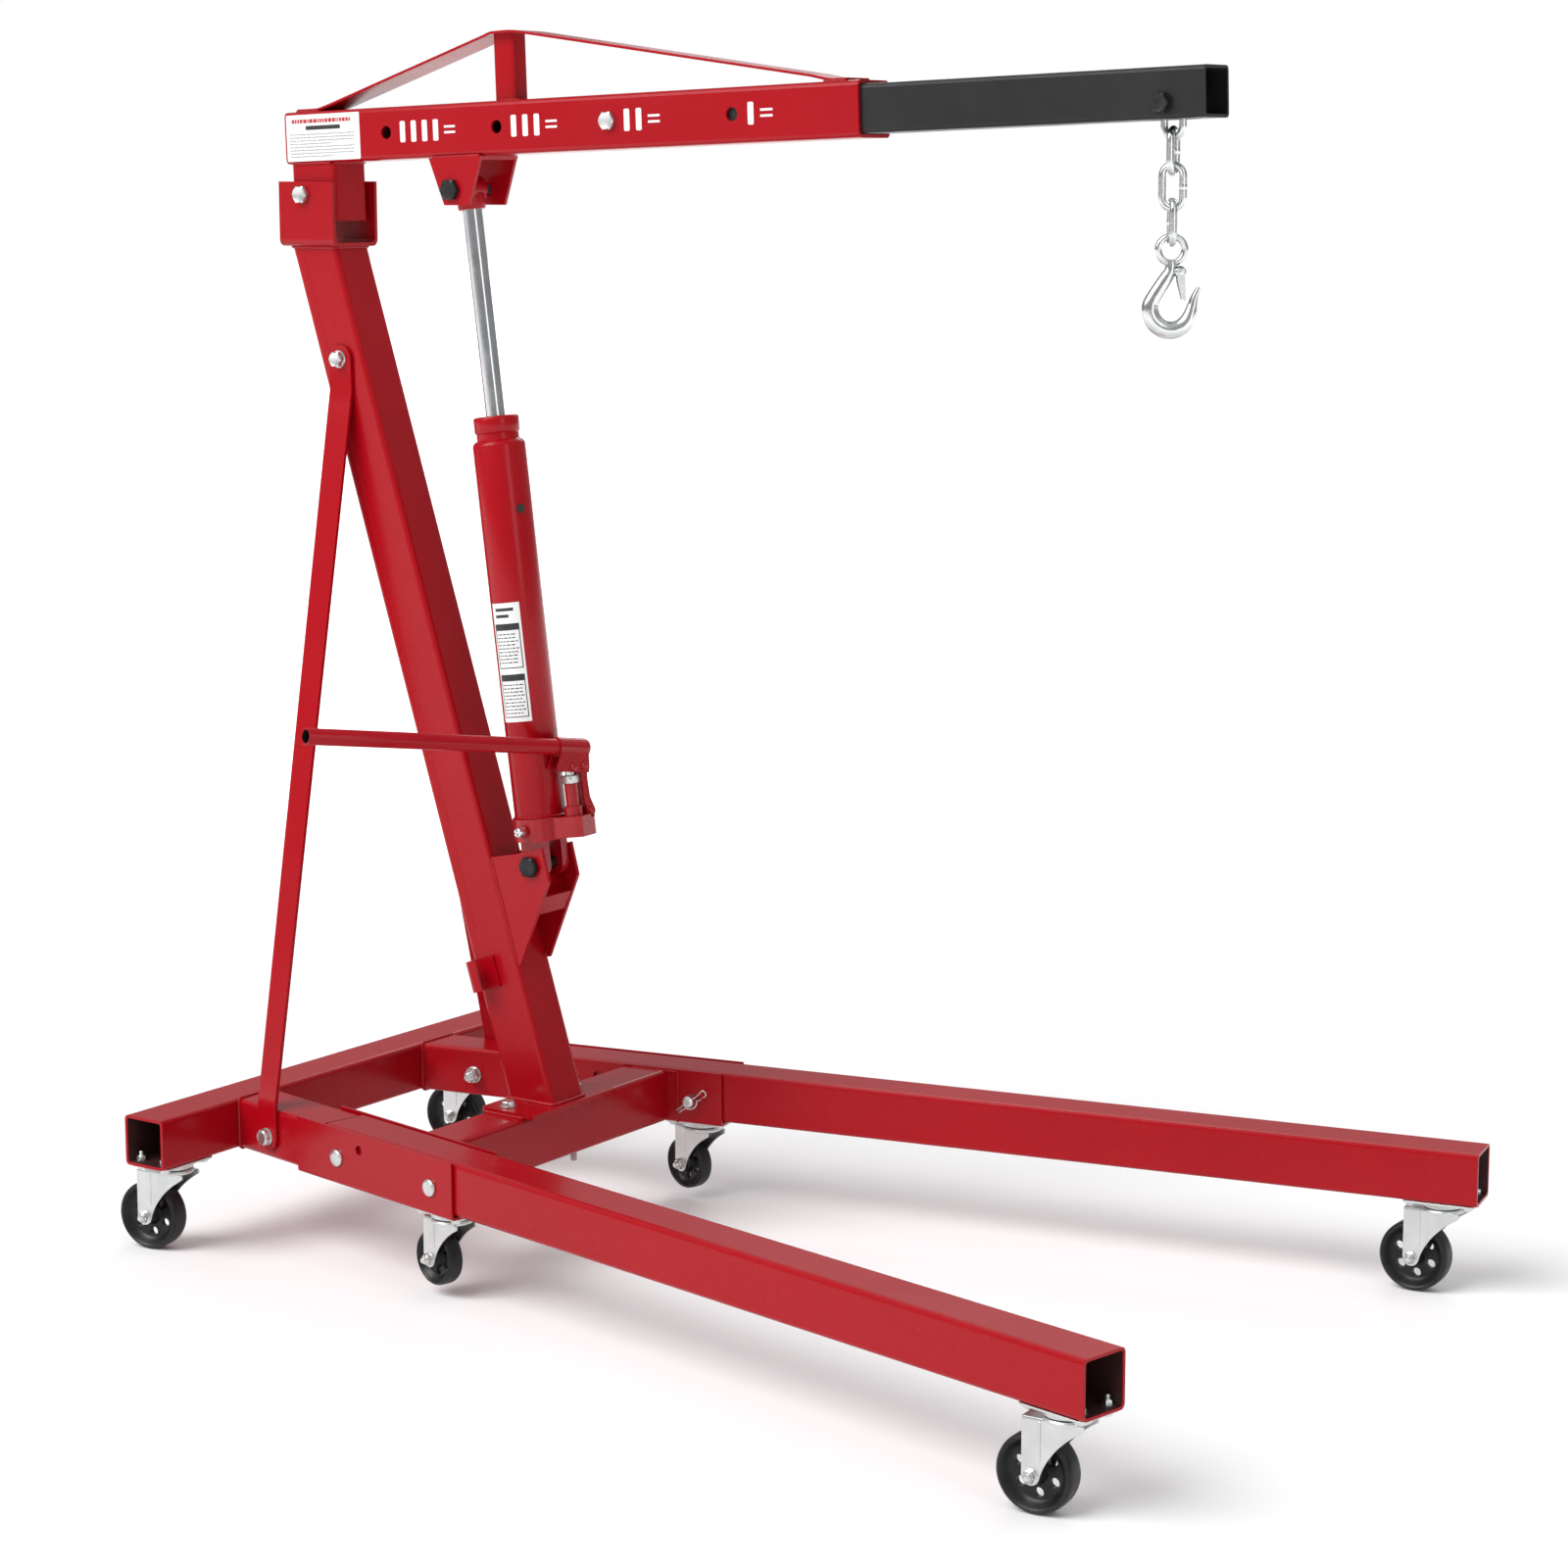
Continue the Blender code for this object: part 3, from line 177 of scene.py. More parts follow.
def surface(name, dark, light, rough, metal=0.0, patches=14.0, grain=900.0, strength=0.08, distance=0.0002,
        stretch=None, coat=0.0, gloss=0.5):
    """Material with tone patches, uneven roughness and a fine grain in relief."""
    n = Nodes(name)
    patch = n.noise(patches, 4.0)
    n.link(n.ramp(patch, 0.3, 0.7, dark, light), n.shader.inputs["Base Color"])
    fine = n.noise(grain, 3.0, stretch)
    wear = n.noise(patches * 4.3, 5.0)
    n.link(n.span(wear, 0.3, 0.7, rough[0], rough[1]), n.shader.inputs["Roughness"])
    n.bump(fine, strength, distance)
    n.set(Metallic=metal, Specular_IOR_Level=gloss)
    if coat:
        n.set(Coat_Weight=coat, Coat_Roughness=0.09)
    return n.material


def fade_out(material):
    """The floor turns plain white away from the crane, so that no horizon line shows."""
    tree = material.node_tree
    shader = next(node for node in tree.nodes if node.type == "BSDF_PRINCIPLED")
    length = tree.nodes.new("ShaderNodeVectorMath")
    length.operation = "LENGTH"
    tree.links.new(tree.nodes.new("ShaderNodeTexCoord").outputs["Object"], length.inputs[0])
    ramp = tree.nodes.new("ShaderNodeMapRange")
    ramp.inputs["From Min"].default_value, ramp.inputs["From Max"].default_value = 1.6, 4.5
    ramp.inputs["To Max"].default_value = 0.6
    tree.links.new(length.outputs["Value"], ramp.inputs["Value"])
    tree.links.new(ramp.outputs["Result"], shader.inputs["Emission Strength"])
    shader.inputs["Emission Color"].default_value = (1, 1, 1, 1)


def make_materials():
    m = {}
    m["red"] = surface("red_powder_coat", (0.32, 0.0014, 0.0058), (0.36, 0.0020, 0.0074), (0.22, 0.29),
            patches=3.0, grain=620.0, strength=0.05, distance=0.00010, coat=0.07, gloss=0.20)
    m["red_weld"] = surface("red_weld_bead", (0.30, 0.0014, 0.0052), (0.39, 0.0024, 0.0078), (0.28, 0.40),
            patches=160.0, grain=1400.0, strength=0.22, distance=0.0003, coat=0.10, gloss=0.25)
    m["red_cast"] = surface("red_enamel_casting", (0.30, 0.0013, 0.0054), (0.35, 0.0020, 0.0072), (0.22, 0.34),
            patches=24.0, grain=380.0, strength=0.16, distance=0.0004, coat=0.20, gloss=0.30)
    m["black"] = surface("black_powder_coat", (0.0065, 0.0066, 0.0072), (0.012, 0.012, 0.013), (0.34, 0.46),
            patches=8.0, grain=1100.0, strength=0.16, distance=0.00015, gloss=0.34)
    m["zinc"] = surface("bright_zinc", (0.62, 0.64, 0.63), (0.74, 0.75, 0.74), (0.28, 0.38), 1.0, patches=30.0,
            grain=1500.0, strength=0.06, distance=0.00010)
    m["galvanised"] = surface("galvanised_forging", (0.56, 0.57, 0.57), (0.68, 0.69, 0.69), (0.16, 0.26), 1.0,
            patches=60.0, grain=420.0, strength=0.10, distance=0.0004)
    m["chrome"] = surface("hard_chrome", (0.50, 0.51, 0.52), (0.62, 0.63, 0.64), (0.16, 0.24), 1.0, patches=9.0,
            grain=900.0, strength=0.05, distance=0.0001, stretch=(1, 1, 0.02))
    m["oxide"] = surface("black_oxide_steel", (0.012, 0.012, 0.013), (0.030, 0.030, 0.032), (0.28, 0.46), 0.55,
            patches=120.0, grain=1300.0, strength=0.15)
    m["plastic"] = surface("black_wheel_plastic", (0.0070, 0.0070, 0.0075), (0.014, 0.014, 0.015), (0.30, 0.46),
            patches=60.0, grain=1000.0, strength=0.18, distance=0.0002, gloss=0.32)
    # painted shade: a near-black red for the tube insides, standing in for the shade inside the tubes
    m["inside"] = surface("painted_shade_tube_inside", (0.030, 0.008, 0.008), (0.055, 0.012, 0.012), (0.50, 0.70),
            patches=40.0, grain=700.0, strength=0.3)
    m["label"] = surface("white_label", (0.74, 0.74, 0.735), (0.80, 0.80, 0.795), (0.30, 0.42), patches=50.0,
            grain=1800.0, strength=0.03)
    m["ink"] = surface("dark_ink", (0.012, 0.012, 0.013), (0.026, 0.026, 0.028), (0.40, 0.52), patches=120.0,
            grain=2200.0, strength=0.03)
    m["grey_ink"] = surface("grey_ink", (0.20, 0.20, 0.205), (0.30, 0.30, 0.305), (0.42, 0.54), patches=120.0,
            grain=2200.0, strength=0.03)
    m["red_ink"] = surface("red_ink", (0.36, 0.010, 0.016), (0.48, 0.014, 0.022), (0.42, 0.54), patches=120.0,
            grain=2200.0, strength=0.03)
    m["white_ink"] = surface("white_paint_marks", (0.76, 0.76, 0.76), (0.84, 0.84, 0.84), (0.32, 0.44),
            patches=90.0, grain=1400.0, strength=0.08)
    m["rubber"] = surface("black_rubber", (0.010, 0.010, 0.010), (0.020, 0.020, 0.020), (0.48, 0.64),
            patches=90.0, grain=900.0, strength=0.25)
    m["floor"] = surface("pale_floor", (0.90, 0.90, 0.90), (0.92, 0.92, 0.92), (0.85, 0.95), patches=1.2,
            grain=60.0, strength=0.02, distance=0.001, gloss=0.0)
    fade_out(m["floor"])
    return m


M = make_materials()


# ---- building pieces ----------------------------------------------------------------------------------------
def loft(rings, closed=False):
    shape = bmesh.new()
    made = [[shape.verts.new(p) for p in ring] for ring in rings]
    count = len(rings[0])
    pairs = list(zip(made, made[1:])) + ([(made[-1], made[0])] if closed else [])
    for a, b in pairs:
        for i in range(count):
            j = (i + 1) % count
            shape.faces.new((a[i], a[j], b[j], b[i]))
    if not closed:
        shape.faces.new(made[0][::-1])
        shape.faces.new(made[-1])
    bmesh.ops.recalc_face_normals(shape, faces=shape.faces)
    return shape


def on_axis(axis, u, v, along):
    return {"X": (along, u, v), "Y": (u, along, v), "Z": (u, v, along)}[axis]


def prism(outline, low, high, axis="Y"):
    return loft([[on_axis(axis, u, v, at) for u, v in outline] for at in (low, high)])


def arc(u, v, radius, start, end, steps):
    angles = [radians(start + (end - start) * i / steps) for i in range(steps + 1)]
    return [(u + radius * cos(a), v + radius * sin(a)) for a in angles]


def rounded(width, height, radius, steps=5, u=0.0, v=0.0):
    x, y = width / 2 - radius, height / 2 - radius
    corners = ((x, y, 0), (-x, y, 90), (-x, -y, 180), (x, -y, 270))
    return [p for cx, cy, a in corners for p in arc(u + cx, v + cy, radius, a, a + 90, steps)]


def lathe(levels, axis="Z", sides=48, u=0.0, v=0.0, closed=False):
    """Turned shape from (along, radius) levels; a radius may be ("hex", across flats)."""
    rings = []
    for at, size in levels:
        ring = []
        for i in range(sides):
            a = 2 * pi * i / sides
            r = size
            if isinstance(size, tuple):
                off = (a + pi / 6) % (pi / 3) - pi / 6
                r = size[1] / 2 / cos(pi / 6 - abs(off))
            ring.append(on_axis(axis, u + r * cos(a), v + r * sin(a), at))
        rings.append(ring)
    return loft(rings, closed)


def sweep(path, radii, sides=16, closed=False, side=Vector((0, 1, 0)), flat=1.0):
    """Round or oval bar along a path in a plane with the given normal."""
    rings, count = [], len(path)
    for i, point in enumerate(path):
        before = path[(i - 1) % count] if closed or i else point
        after = path[(i + 1) % count] if closed or i < count - 1 else point
        along = (Vector(after) - Vector(before)).normalized()
        across = along.cross(side).normalized()
        r = radii[i] if isinstance(radii, list) else radii
        rings.append([
            Vector(point) + r * cos(2 * pi * k / sides) * across + r * flat * sin(2 * pi * k / sides) * side
            for k in range(sides)
        ])
    return loft(rings, closed)


def mesh_of(shapes, matrix):
    whole = bmesh.new()
    for shape in shapes if isinstance(shapes, list) else [shapes]:
        part = bpy.data.meshes.new("shape")
        shape.to_mesh(part)
        shape.free()
        whole.from_mesh(part)
        bpy.data.meshes.remove(part)
    whole.transform(matrix)
    mesh = bpy.data.meshes.new("mesh")
    whole.to_mesh(mesh)
    whole.free()
    return mesh


def piece(name, shapes, matrix, look, body, bevel=0.0, smooth=40, stands_for=()):
    """One visible piece, shaded and riding on a body."""
    obj = bpy.data.objects.new(name, mesh_of(shapes, matrix))
    bpy.context.scene.collection.objects.link(obj)
    obj.data.materials.append(M[look])
    obj.data.shade_smooth()
    obj.data.set_sharp_from_angle(angle=radians(smooth))
    if bevel:
        soften(obj, bevel)
    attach(obj, body)
    if stands_for:
        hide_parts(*stands_for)
    return obj


def soften(obj, width, segments=2):
    modifier = obj.modifiers.new("edge", "BEVEL")
    modifier.width = width
    modifier.segments = segments
    modifier.limit_method = "ANGLE"
    modifier.angle_limit = radians(38)
    modifier.harden_normals = True
    modifier.use_clamp_overlap = True


def cutter(obj, shape, matrix):
    other = bpy.data.objects.new(obj.name + "_cut", mesh_of(shape, matrix))
    bpy.context.scene.collection.objects.link(other)
    other.hide_render = True
    other.hide_viewport = False
    other.display_type = "WIRE"
    modifier = obj.modifiers.new("cut", "BOOLEAN")
    modifier.operation = "DIFFERENCE"
    modifier.solver = "EXACT"
    modifier.object = other
    bpy.context.view_layer.update()
    graph = bpy.context.evaluated_depsgraph_get()
    done = bpy.data.meshes.new_from_object(obj.evaluated_get(graph))
    obj.modifiers.remove(modifier)
    obj.data = done
    bpy.data.objects.remove(other)


def holed(name, shape, cuts, matrix, look, body, bevel=0.0, stands_for=()):
    """A piece with holes: the cuts are (shape, frame) pairs made before the edges are softened."""
    obj = bpy.data.objects.new(name, mesh_of(shape, matrix))
    bpy.context.scene.collection.objects.link(obj)
    obj.data.materials.append(M[look])
    whole = [(mesh_of(s, f)) for s, f in cuts]
    joined = bmesh.new()
    for mesh in whole:
        joined.from_mesh(mesh)
    cutter(obj, joined, Matrix.Identity(4))
    obj.data.shade_smooth()
    obj.data.set_sharp_from_angle(angle=radians(40))
    if bevel:
        soften(obj, bevel)
    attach(obj, body)
    if stands_for:
        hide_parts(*stands_for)
    return obj


# ---- fasteners ----------------------------------------------------------------------------------------------
def washer(at, inner, outer, thick, axis="Y"):
    levels = [(at, inner), (at, outer - 0.0004), (at + thick * 0.3, outer), (at + thick, outer),
            (at + thick, inner)]
    return lathe(levels, axis, 36, closed=True)


def hex_head(at, across, height, out, axis="Y"):
    """Hexagon head whose chamfered face points out, -1 or 1 along the axis."""
    round_top = across / 2 * 0.92
    levels = [(at, across / 2 * 0.96), (at + out * height * 0.06, ("hex", across)),
            (at + out * height * 0.82, ("hex", across)),
              (at + out * height, round_top), (at + out * height * 0.93, round_top * 0.80)]
    return lathe(levels, axis, 48)


def thread(start, end, radius, axis="Y", pitch=0.0016):
    """Threaded bolt end with a chamfered tip."""
    out = 1 if end > start else -1
    count = max(2, int(abs(end - start) / pitch))
    levels = []
    for i in range(count):
        at = start + out * i * pitch
        levels += [(at, radius * 0.90), (at + out * pitch * 0.5, radius)]
    levels += [(start + out * count * pitch, radius * 0.88), (start + out * (count * pitch + 0.0010),
            radius * 0.72)]
    return lathe(levels, axis, 28)


def through_bolt(name, matrix, low, high, across, radius, look, body, nut=0.010, head=0.008, tail=0.008,
        stands_for=(), axis="Y", wash=True):
    """Head outside the low face and nut outside the high face, with a washer under each."""
    w = 0.0018 if wash else 0.0
    shapes = [hex_head(low - w, across, head, -1, axis), hex_head(high + w, across, nut, 1, axis),
            thread(high + w + nut * 0.5, high + w + nut + tail, radius, axis)]
    if wash:
        shapes += [washer(low - w, radius * 0.8, across * 0.62, w, axis),
                washer(high, radius * 0.8, across * 0.62, w, axis)]
    return piece(name, shapes, matrix, look, body, stands_for=stands_for)


# ---- weld beads ---------------------------------------------------------------------------------------------
def bead(name, corners, body, radius=0.0022, closed=False, look="red_weld"):
    """Rippled weld bead through corner points, in the crane's frame."""
    points, step = [], 0.0016
    ends = list(zip(corners, corners[1:])) + ([(corners[-1], corners[0])] if closed else [])
    for a, b in ends:
        a, b = Vector(a), Vector(b)
        count = max(2, int((b - a).length / step))
        points += [a.lerp(b, i / count) for i in range(count)]
    if not closed:
        points.append(Vector(corners[-1]))
    rings, count, sides = [], len(points), 7
    for i, p in enumerate(points):
        before = points[(i - 1) % count] if closed or i else p
        after = points[(i + 1) % count] if closed or i < count - 1 else p
        along = (after - before).normalized()
        helper = Vector((0.31, 0.17, 1.0)).normalized()
        if abs(along.dot(helper)) > 0.9:
            helper = Vector((1, 0.2, 0))
        across = along.cross(helper).normalized()
        up = across.cross(along)
        r = radius * (0.86 + 0.20 * abs(sin(i * 0.80)) + 0.07 * sin(i * 0.093 + len(name)))
        rings.append([p + r * (cos(2 * pi * k / sides) * across + sin(2 * pi * k / sides) * up)
                      for k in range(sides)])
    return piece(name, loft(rings, closed), Matrix.Identity(4), look, body, smooth=70)


def dress(names, look, bevel=0.0005):
    for name in names:
        obj = NODES[name]
        obj.data.materials.clear()
        obj.data.materials.append(M[look])
        obj.data.shade_smooth()
        obj.data.set_sharp_from_angle(angle=radians(33))
        if bevel:
            soften(obj, bevel)


def painted_shade_insides():
    """The insides of the tubes are darkened with painted shade: a thin dark sleeve just inside each open end.
    """
    t = 0.0042
    y = 0.730 / 2 - 0.0012
    sleeve("crossbar_bore", Matrix.Translation(world(TUBE / 2, 0, BASE_Z + TUBE / 2)), "Y", -y, y, TUBE - 2 * t,
            TUBE - 2 * t, "base", 0.0022)
    for side, name in ((-1, "right"), (1, "left")):
        low = rail_frame(side, 0, LEG_LIFT + 0.069 / 2) @ Matrix.Translation((0, -side * TUBE / 2, 0))
        sleeve(name + "_leg_bore", low, "X", 0.215, LEG_TIP - 0.0012, 0.0665 - 0.0078, 0.069 - 0.0078,
                name + "_leg", 0.0018)
    v = BOOM_UNDER + BOOM_SIZE / 2
    sleeve("boom_bore", boom_frame(), "X", BOOM_REAR + 0.001, 0.07, BOOM_SIZE - 2 * t, BOOM_SIZE - 2 * t,
            "boom", 0.0022, v=v)
    sleeve("extension_bore", boom_frame(), "X", 1.31, EXT_FRONT - 0.0012, EXT_SIZE - 0.0078, EXT_SIZE - 0.0078,
            "extension", 0.002, v=v, look="black")


# Unless another look is given, a sleeve takes the dark painted-shade material for the tube insides.
def sleeve(name, matrix, axis, low, high, width, height, body, radius, u=0.0, v=0.0, look="inside"):
    outer = rounded(width, height, radius, 3, u, v)
    inner = rounded(width - 0.0006, height - 0.0006, radius, 3, u, v)
    rings = [[on_axis(axis, a, b, at) for a, b in section] for section,
            at in ((outer, low), (outer, high), (inner, high), (inner, low))]
    piece(name, loft(rings, closed=True), matrix, look, body)


def make_braces():
    """Flat bars with rounded ends and pressed bends."""
    for side, name in ((-1, "right"), (1, "left")):
        rail = rail_frame(side)
        out = (rail.to_3x3() @ Vector((0, side, 0))).normalized()
        foot = rail @ Vector((0.0698, 0, 0.0305)) + out * GAP
        head = post_point(0, side * (POST_WIDTH / 2 + GAP), BRACE_TOP_Z)
        cross = Vector((0, side, 0))
        line = (head - foot).normalized()
        foot_up = Vector((line.x * 0.4, 0, 1)).normalized()
        foot_up = (foot_up - out * foot_up.dot(out)).normalized()
        head_up = (line - cross * line.dot(cross)).normalized()
        flat = []
        for k in range(7):
            a = pi / 2 * k / 6
            flat.append((foot - foot_up * 0.0190 * cos(a), out, foot_up, max(sin(a), 0.18)))
        low = foot + foot_up * 0.042
        high = head - head_up * 0.042
        flat.append((low, out, foot_up, 1.0))
        span = high - low
        along = span.normalized()
        for share in (0.02, 0.04, 0.5, 0.96, 0.98):
            mix = out.lerp(cross, share)
            mix = (mix - along * mix.dot(along)).normalized()
            flat.append((low + span * share, mix, along, 1.0))
        flat.append((high, cross, head_up, 1.0))
        for k in range(7):
            a = pi / 2 * k / 6
            flat.append((head + head_up * 0.0190 * sin(a), cross, head_up, max(cos(a), 0.18)))
        rings = []
        for centre, normal, way, share in flat:
            wide = normal.cross(way).normalized() * 0.019 * share
            thick = normal * BRACE_THICK
            rings.append([centre - wide, centre + wide, centre + wide + thick, centre - wide + thick])
        piece(name + "_brace_bar", loft(rings), Matrix.Identity(4), "red", "base", bevel=0.0008, smooth=30,
                stands_for=(name + "_brace",))


def make_base_fasteners():
    reach = POST_WIDTH / 2 + BRACE_THICK + 2 * GAP
    through_bolt("brace_top_bolt", Matrix.Translation(post_point(0, 0, BRACE_TOP_Z)), -reach, reach, 0.019,
            0.006, "zinc", "base")
    for side, name in ((-1, "right"), (1, "left")):
        through_bolt(name + "_brace_foot_bolt", pin_frame(side, 0.0698, 0.0305), -BRACE_THICK - 2 * GAP, TUBE,
                0.019, 0.006, "zinc", "base")
        out = -0.0004 - CHANNEL_PLATE - GAP
        head = [(out, 0.0112), (out - 0.0022, 0.0112), (out - 0.0036, 0.0103), (out - 0.0044, 0.0080),
                (out - 0.0047, 0.0040)]
        inner = TUBE + 0.0004 + CHANNEL_PLATE
        shank = [(out, PIN_R), (inner + 0.0105, PIN_R), (inner + 0.0117, PIN_R * 0.82)]
        piece(name + "_pivot_pin_body", [lathe(head, "Y", 48), lathe(shank, "Y", 32),
                washer(inner, 0.0082, 0.0125, 0.002)],
              pin_frame(side, LEG_PIVOT, LEG_PIVOT_Z), "zinc", "base", stands_for=(name + "_leg_pivot_pin",))
        tail = [(out, PIN_R), (inner + 0.0195, PIN_R), (inner + 0.0225, PIN_R * 0.62)]
        piece(name + "_lock_pin_body", [lathe(head, "Y", 48), lathe(tail, "Y", 32)],
              pin_frame(side, LOCK_PIN, LEG_PIVOT_Z), "zinc", "base", stands_for=(name + "_lock_pin",))
        clip_path = [(-0.020, 0, 0.0030), (-0.0125, 0, 0.0012), (-0.006, 0, 0.0), (0.006, 0, 0.0),
                (0.0105, 0, 0.0), (0.016, 0, -0.0024), (0.024, 0, -0.0030)]
        lower = [(-0.018, 0, -0.0052)] + [(u, 0, w) for u, w in arc(0, 0, 0.0112, 205, 320, 12)] + [(0.014, 0,
                -0.0062), (0.022, 0, -0.0075)]
        eye = [(u, 0, w) for u, w in arc(-0.0235, 0.0, 0.0045, 40, 300, 12)]
        tilt = Matrix.Translation((0, inner + 0.0125, 0)) @ Matrix.Rotation(radians(30), 4, "Y")
        clip = [sweep(clip_path, 0.0011, 10), sweep(lower, 0.0011, 10), sweep(eye, 0.0011, 10)]
        piece(name + "_hairpin_clip", clip, pin_frame(side, LOCK_PIN, LEG_PIVOT_Z) @ tilt, "zinc", "base")
        top = POST_BOTTOM - 2 * GAP
        place = Matrix.Translation(world(0.4045, side * 0.0680, 0))
        under = BASE_Z - 0.0038
        shapes = [washer(top, 0.004, 0.0115, 0.0016, "Z"), hex_head(top + 0.0016, 0.017, 0.0066, 1, "Z"),
                  washer(under - 0.0016, 0.004, 0.0110, 0.0016, "Z"),
                          hex_head(under - 0.0016, 0.017, 0.0085, -1, "Z"),
                  thread(under - 0.008, under - 0.027, 0.005, "Z")]
        piece(name + "_foot_plate_bolt", shapes, place, "zinc", "base")
    w = 0.044 + GAP
    through_bolt("boom_pivot_bolt_body", Matrix.Translation(world(*BOOM_PIVOT)), -w, w, 0.0215, PIN_R, "zinc",
            "base", head=0.0085, stands_for=("boom_pivot_bolt",), wash=False)
    w = POST_WIDTH / 2 + GAP
    through_bolt("jack_foot_bolt_body", Matrix.Translation(world(*JACK_FOOT)), -w, w, 0.025, PIN_R, "oxide",
            "base", head=0.0085, stands_for=("jack_foot_bolt",), wash=False)
    shank = lathe([(-w, PIN_R), (w, PIN_R)], "Y", 32)
    piece("jack_foot_bolt_shank", shank, Matrix.Translation(world(*JACK_FOOT)), "oxide", "base")
    shank = lathe([(-0.044, PIN_R), (0.044, PIN_R)], "Y", 32)
    piece("boom_pivot_bolt_shank", shank, Matrix.Translation(world(*BOOM_PIVOT)), "zinc", "base")


def make_welds():
    h = TUBE
    for side, name in ((-1, "right"), (1, "left")):
        r = rail_frame(side)
        loop = []
        for u, v in rounded(h + 0.001, h + 0.001, 0.006, 3, -side * h / 2, h / 2):
            loop.append(r @ Vector(((GAP + u * sin(side * SPLAY)) / cos(SPLAY) + 0.0008, u, v)))
        bead(name + "_rail_weld", loop, "base", 0.0024, closed=True)
        out = 0.0004 + CHANNEL_PLATE
        y0, y1 = side * 0.0002, -side * (h + 0.0002)
        rear = [r @ Vector((CHANNEL_START, y0, 0.066)), r @ Vector((CHANNEL_START, y0, -0.001)),
                r @ Vector((CHANNEL_START, y1, -0.001)), r @ Vector((CHANNEL_START, y1, 0.066))]
        bead(name + "_channel_weld", rear, "base", 0.0018)
        inner = -side * (h + out + GAP)
        s0, s1 = 0.333, 0.402
        lowz, highz = -0.0036, 0.0665
        for at, tag in ((s0 - 0.0135, "rear"), (s1 - 0.0140, "front")):
            a, b = r @ Vector((at, inner, lowz)), r @ Vector((at, inner, highz))
            bead(name + "_beam_weld_" + tag, [a, b], "base", 0.0020)
        bead(name + "_beam_weld_top", [r @ Vector((s0 - 0.0135, inner, highz + 0.0006)),
                r @ Vector((s1 - 0.0140, inner, highz + 0.0006))], "base", 0.0020)
    foot = []
    for u, v in rounded(POST_DEPTH + 0.001, POST_WIDTH + 0.001, 0.006, 3):
        foot.append(post_point(u, v, POST_BOTTOM + 0.0006))
    bead("post_foot_weld", foot, "base", 0.0028, closed=True)
    plate_z = BASE_Z + BEAM_TOP + 0.0008
    for side in (-1, 1):
        bead("foot_plate_weld_%s" % ("right" if side < 0 else "left"),
                [world(0.381, side * 0.0893, plate_z), world(0.444, side * 0.0893, plate_z)], "base", 0.0020)
    top = []
    for u, v in rounded(POST_DEPTH + 0.001, POST_WIDTH + 0.001, 0.006, 3):
        p = post_point(u, v, 1.3085)
        if p.x > world(0.0155, 0, 0).x:
            top.append(p)
    low = min(range(len(top)), key=lambda i: top[i].x)
    top = top[low + 1:] + top[:low + 1]
    bead("head_bracket_weld", top, "base", 0.0022)
    for side, tag in ((-1, "right"), (1, "left")):
        y = side * (POST_WIDTH / 2 - 0.0004)
        bead("jack_bracket_weld_" + tag, [post_point(POST_DEPTH / 2 + 0.0006, y, 0.386),
                post_point(POST_DEPTH / 2 + 0.0006, y, 0.516)], "base", 0.0021)
    b = boom_frame()
    under = BOOM_UNDER + 0.0002
    for side, tag in ((-1, "right"), (1, "left")):
        y = side * 0.0330
        bead("pivot_block_weld_" + tag, [b @ Vector((-0.024, y, under)), b @ Vector((0.042, y, under))], "boom",
                0.0018)
        bead("clevis_weld_" + tag, [b @ Vector((0.219, side * 0.0350, under)),
                b @ Vector((0.296, side * 0.0350, under))], "boom", 0.0022)
        z = BOOM_UNDER + BOOM_SIZE + 0.0006
        bead("strut_weld_" + tag, [b @ Vector((0.3150, side * 0.0142, z)),
                b @ Vector((0.3470, side * 0.0142, z))], "boom", 0.0017)
        bead("strap_weld_rear_" + tag, [b @ Vector((-0.020, side * 0.0252, z)),
                b @ Vector((0.018, side * 0.0252, z))], "boom", 0.0017)
        bead("strap_weld_front_" + tag, [b @ Vector((0.820, side * 0.0252, z)),
                b @ Vector((0.851, side * 0.0252, z))], "boom", 0.0017)
    bead("pivot_block_weld_front", [b @ Vector((0.0466, -0.030, under)), b @ Vector((0.0466, 0.030, under))],
            "boom", 0.0018)
    seam = [post_point(-0.0195, -POST_WIDTH / 2 + 0.00015, 0.42),
            post_point(-0.0195, -POST_WIDTH / 2 + 0.00015, 1.295)]
    bead("post_seam", seam, "base", 0.00050, look="red")


# ---- casters ------------------------------------------------------------------------------------------------
class Caster:
    def __init__(self, plate, height, wheel_r, wheel_w, trail):
        self.plate, self.height, self.wheel_r, self.wheel_w, self.trail = plate, height, wheel_r, wheel_w, trail


REAR = Caster((0.062, 0.092), BASE_Z - GAP, 0.0455, 0.030, 0.034)
TIP = Caster((0.092, 0.062), BASE_Z + LEG_LIFT - GAP, 0.0455, 0.030, 0.034)
MID = Caster((0.088, 0.062), 0.1045, 0.036, 0.024, 0.028)
HEADINGS = {"rear_": radians(8), "mid_": radians(-12), "tip_": radians(4)}


def caster_frame(place, side):
    if place == "rear_":
        return Matrix.Translation(world(TUBE / 2, side * 0.313, BASE_Z - GAP))
    if place == "mid_":
        return rail_frame(side, 0.4085, -2 * GAP - CHANNEL_PLATE) @ Matrix.Translation((0, -side * TUBE / 2, 0))
    return rail_frame(side, LEG_TIP - 0.050, LEG_LIFT - GAP) @ Matrix.Translation((0, -side * TUBE / 2, 0))


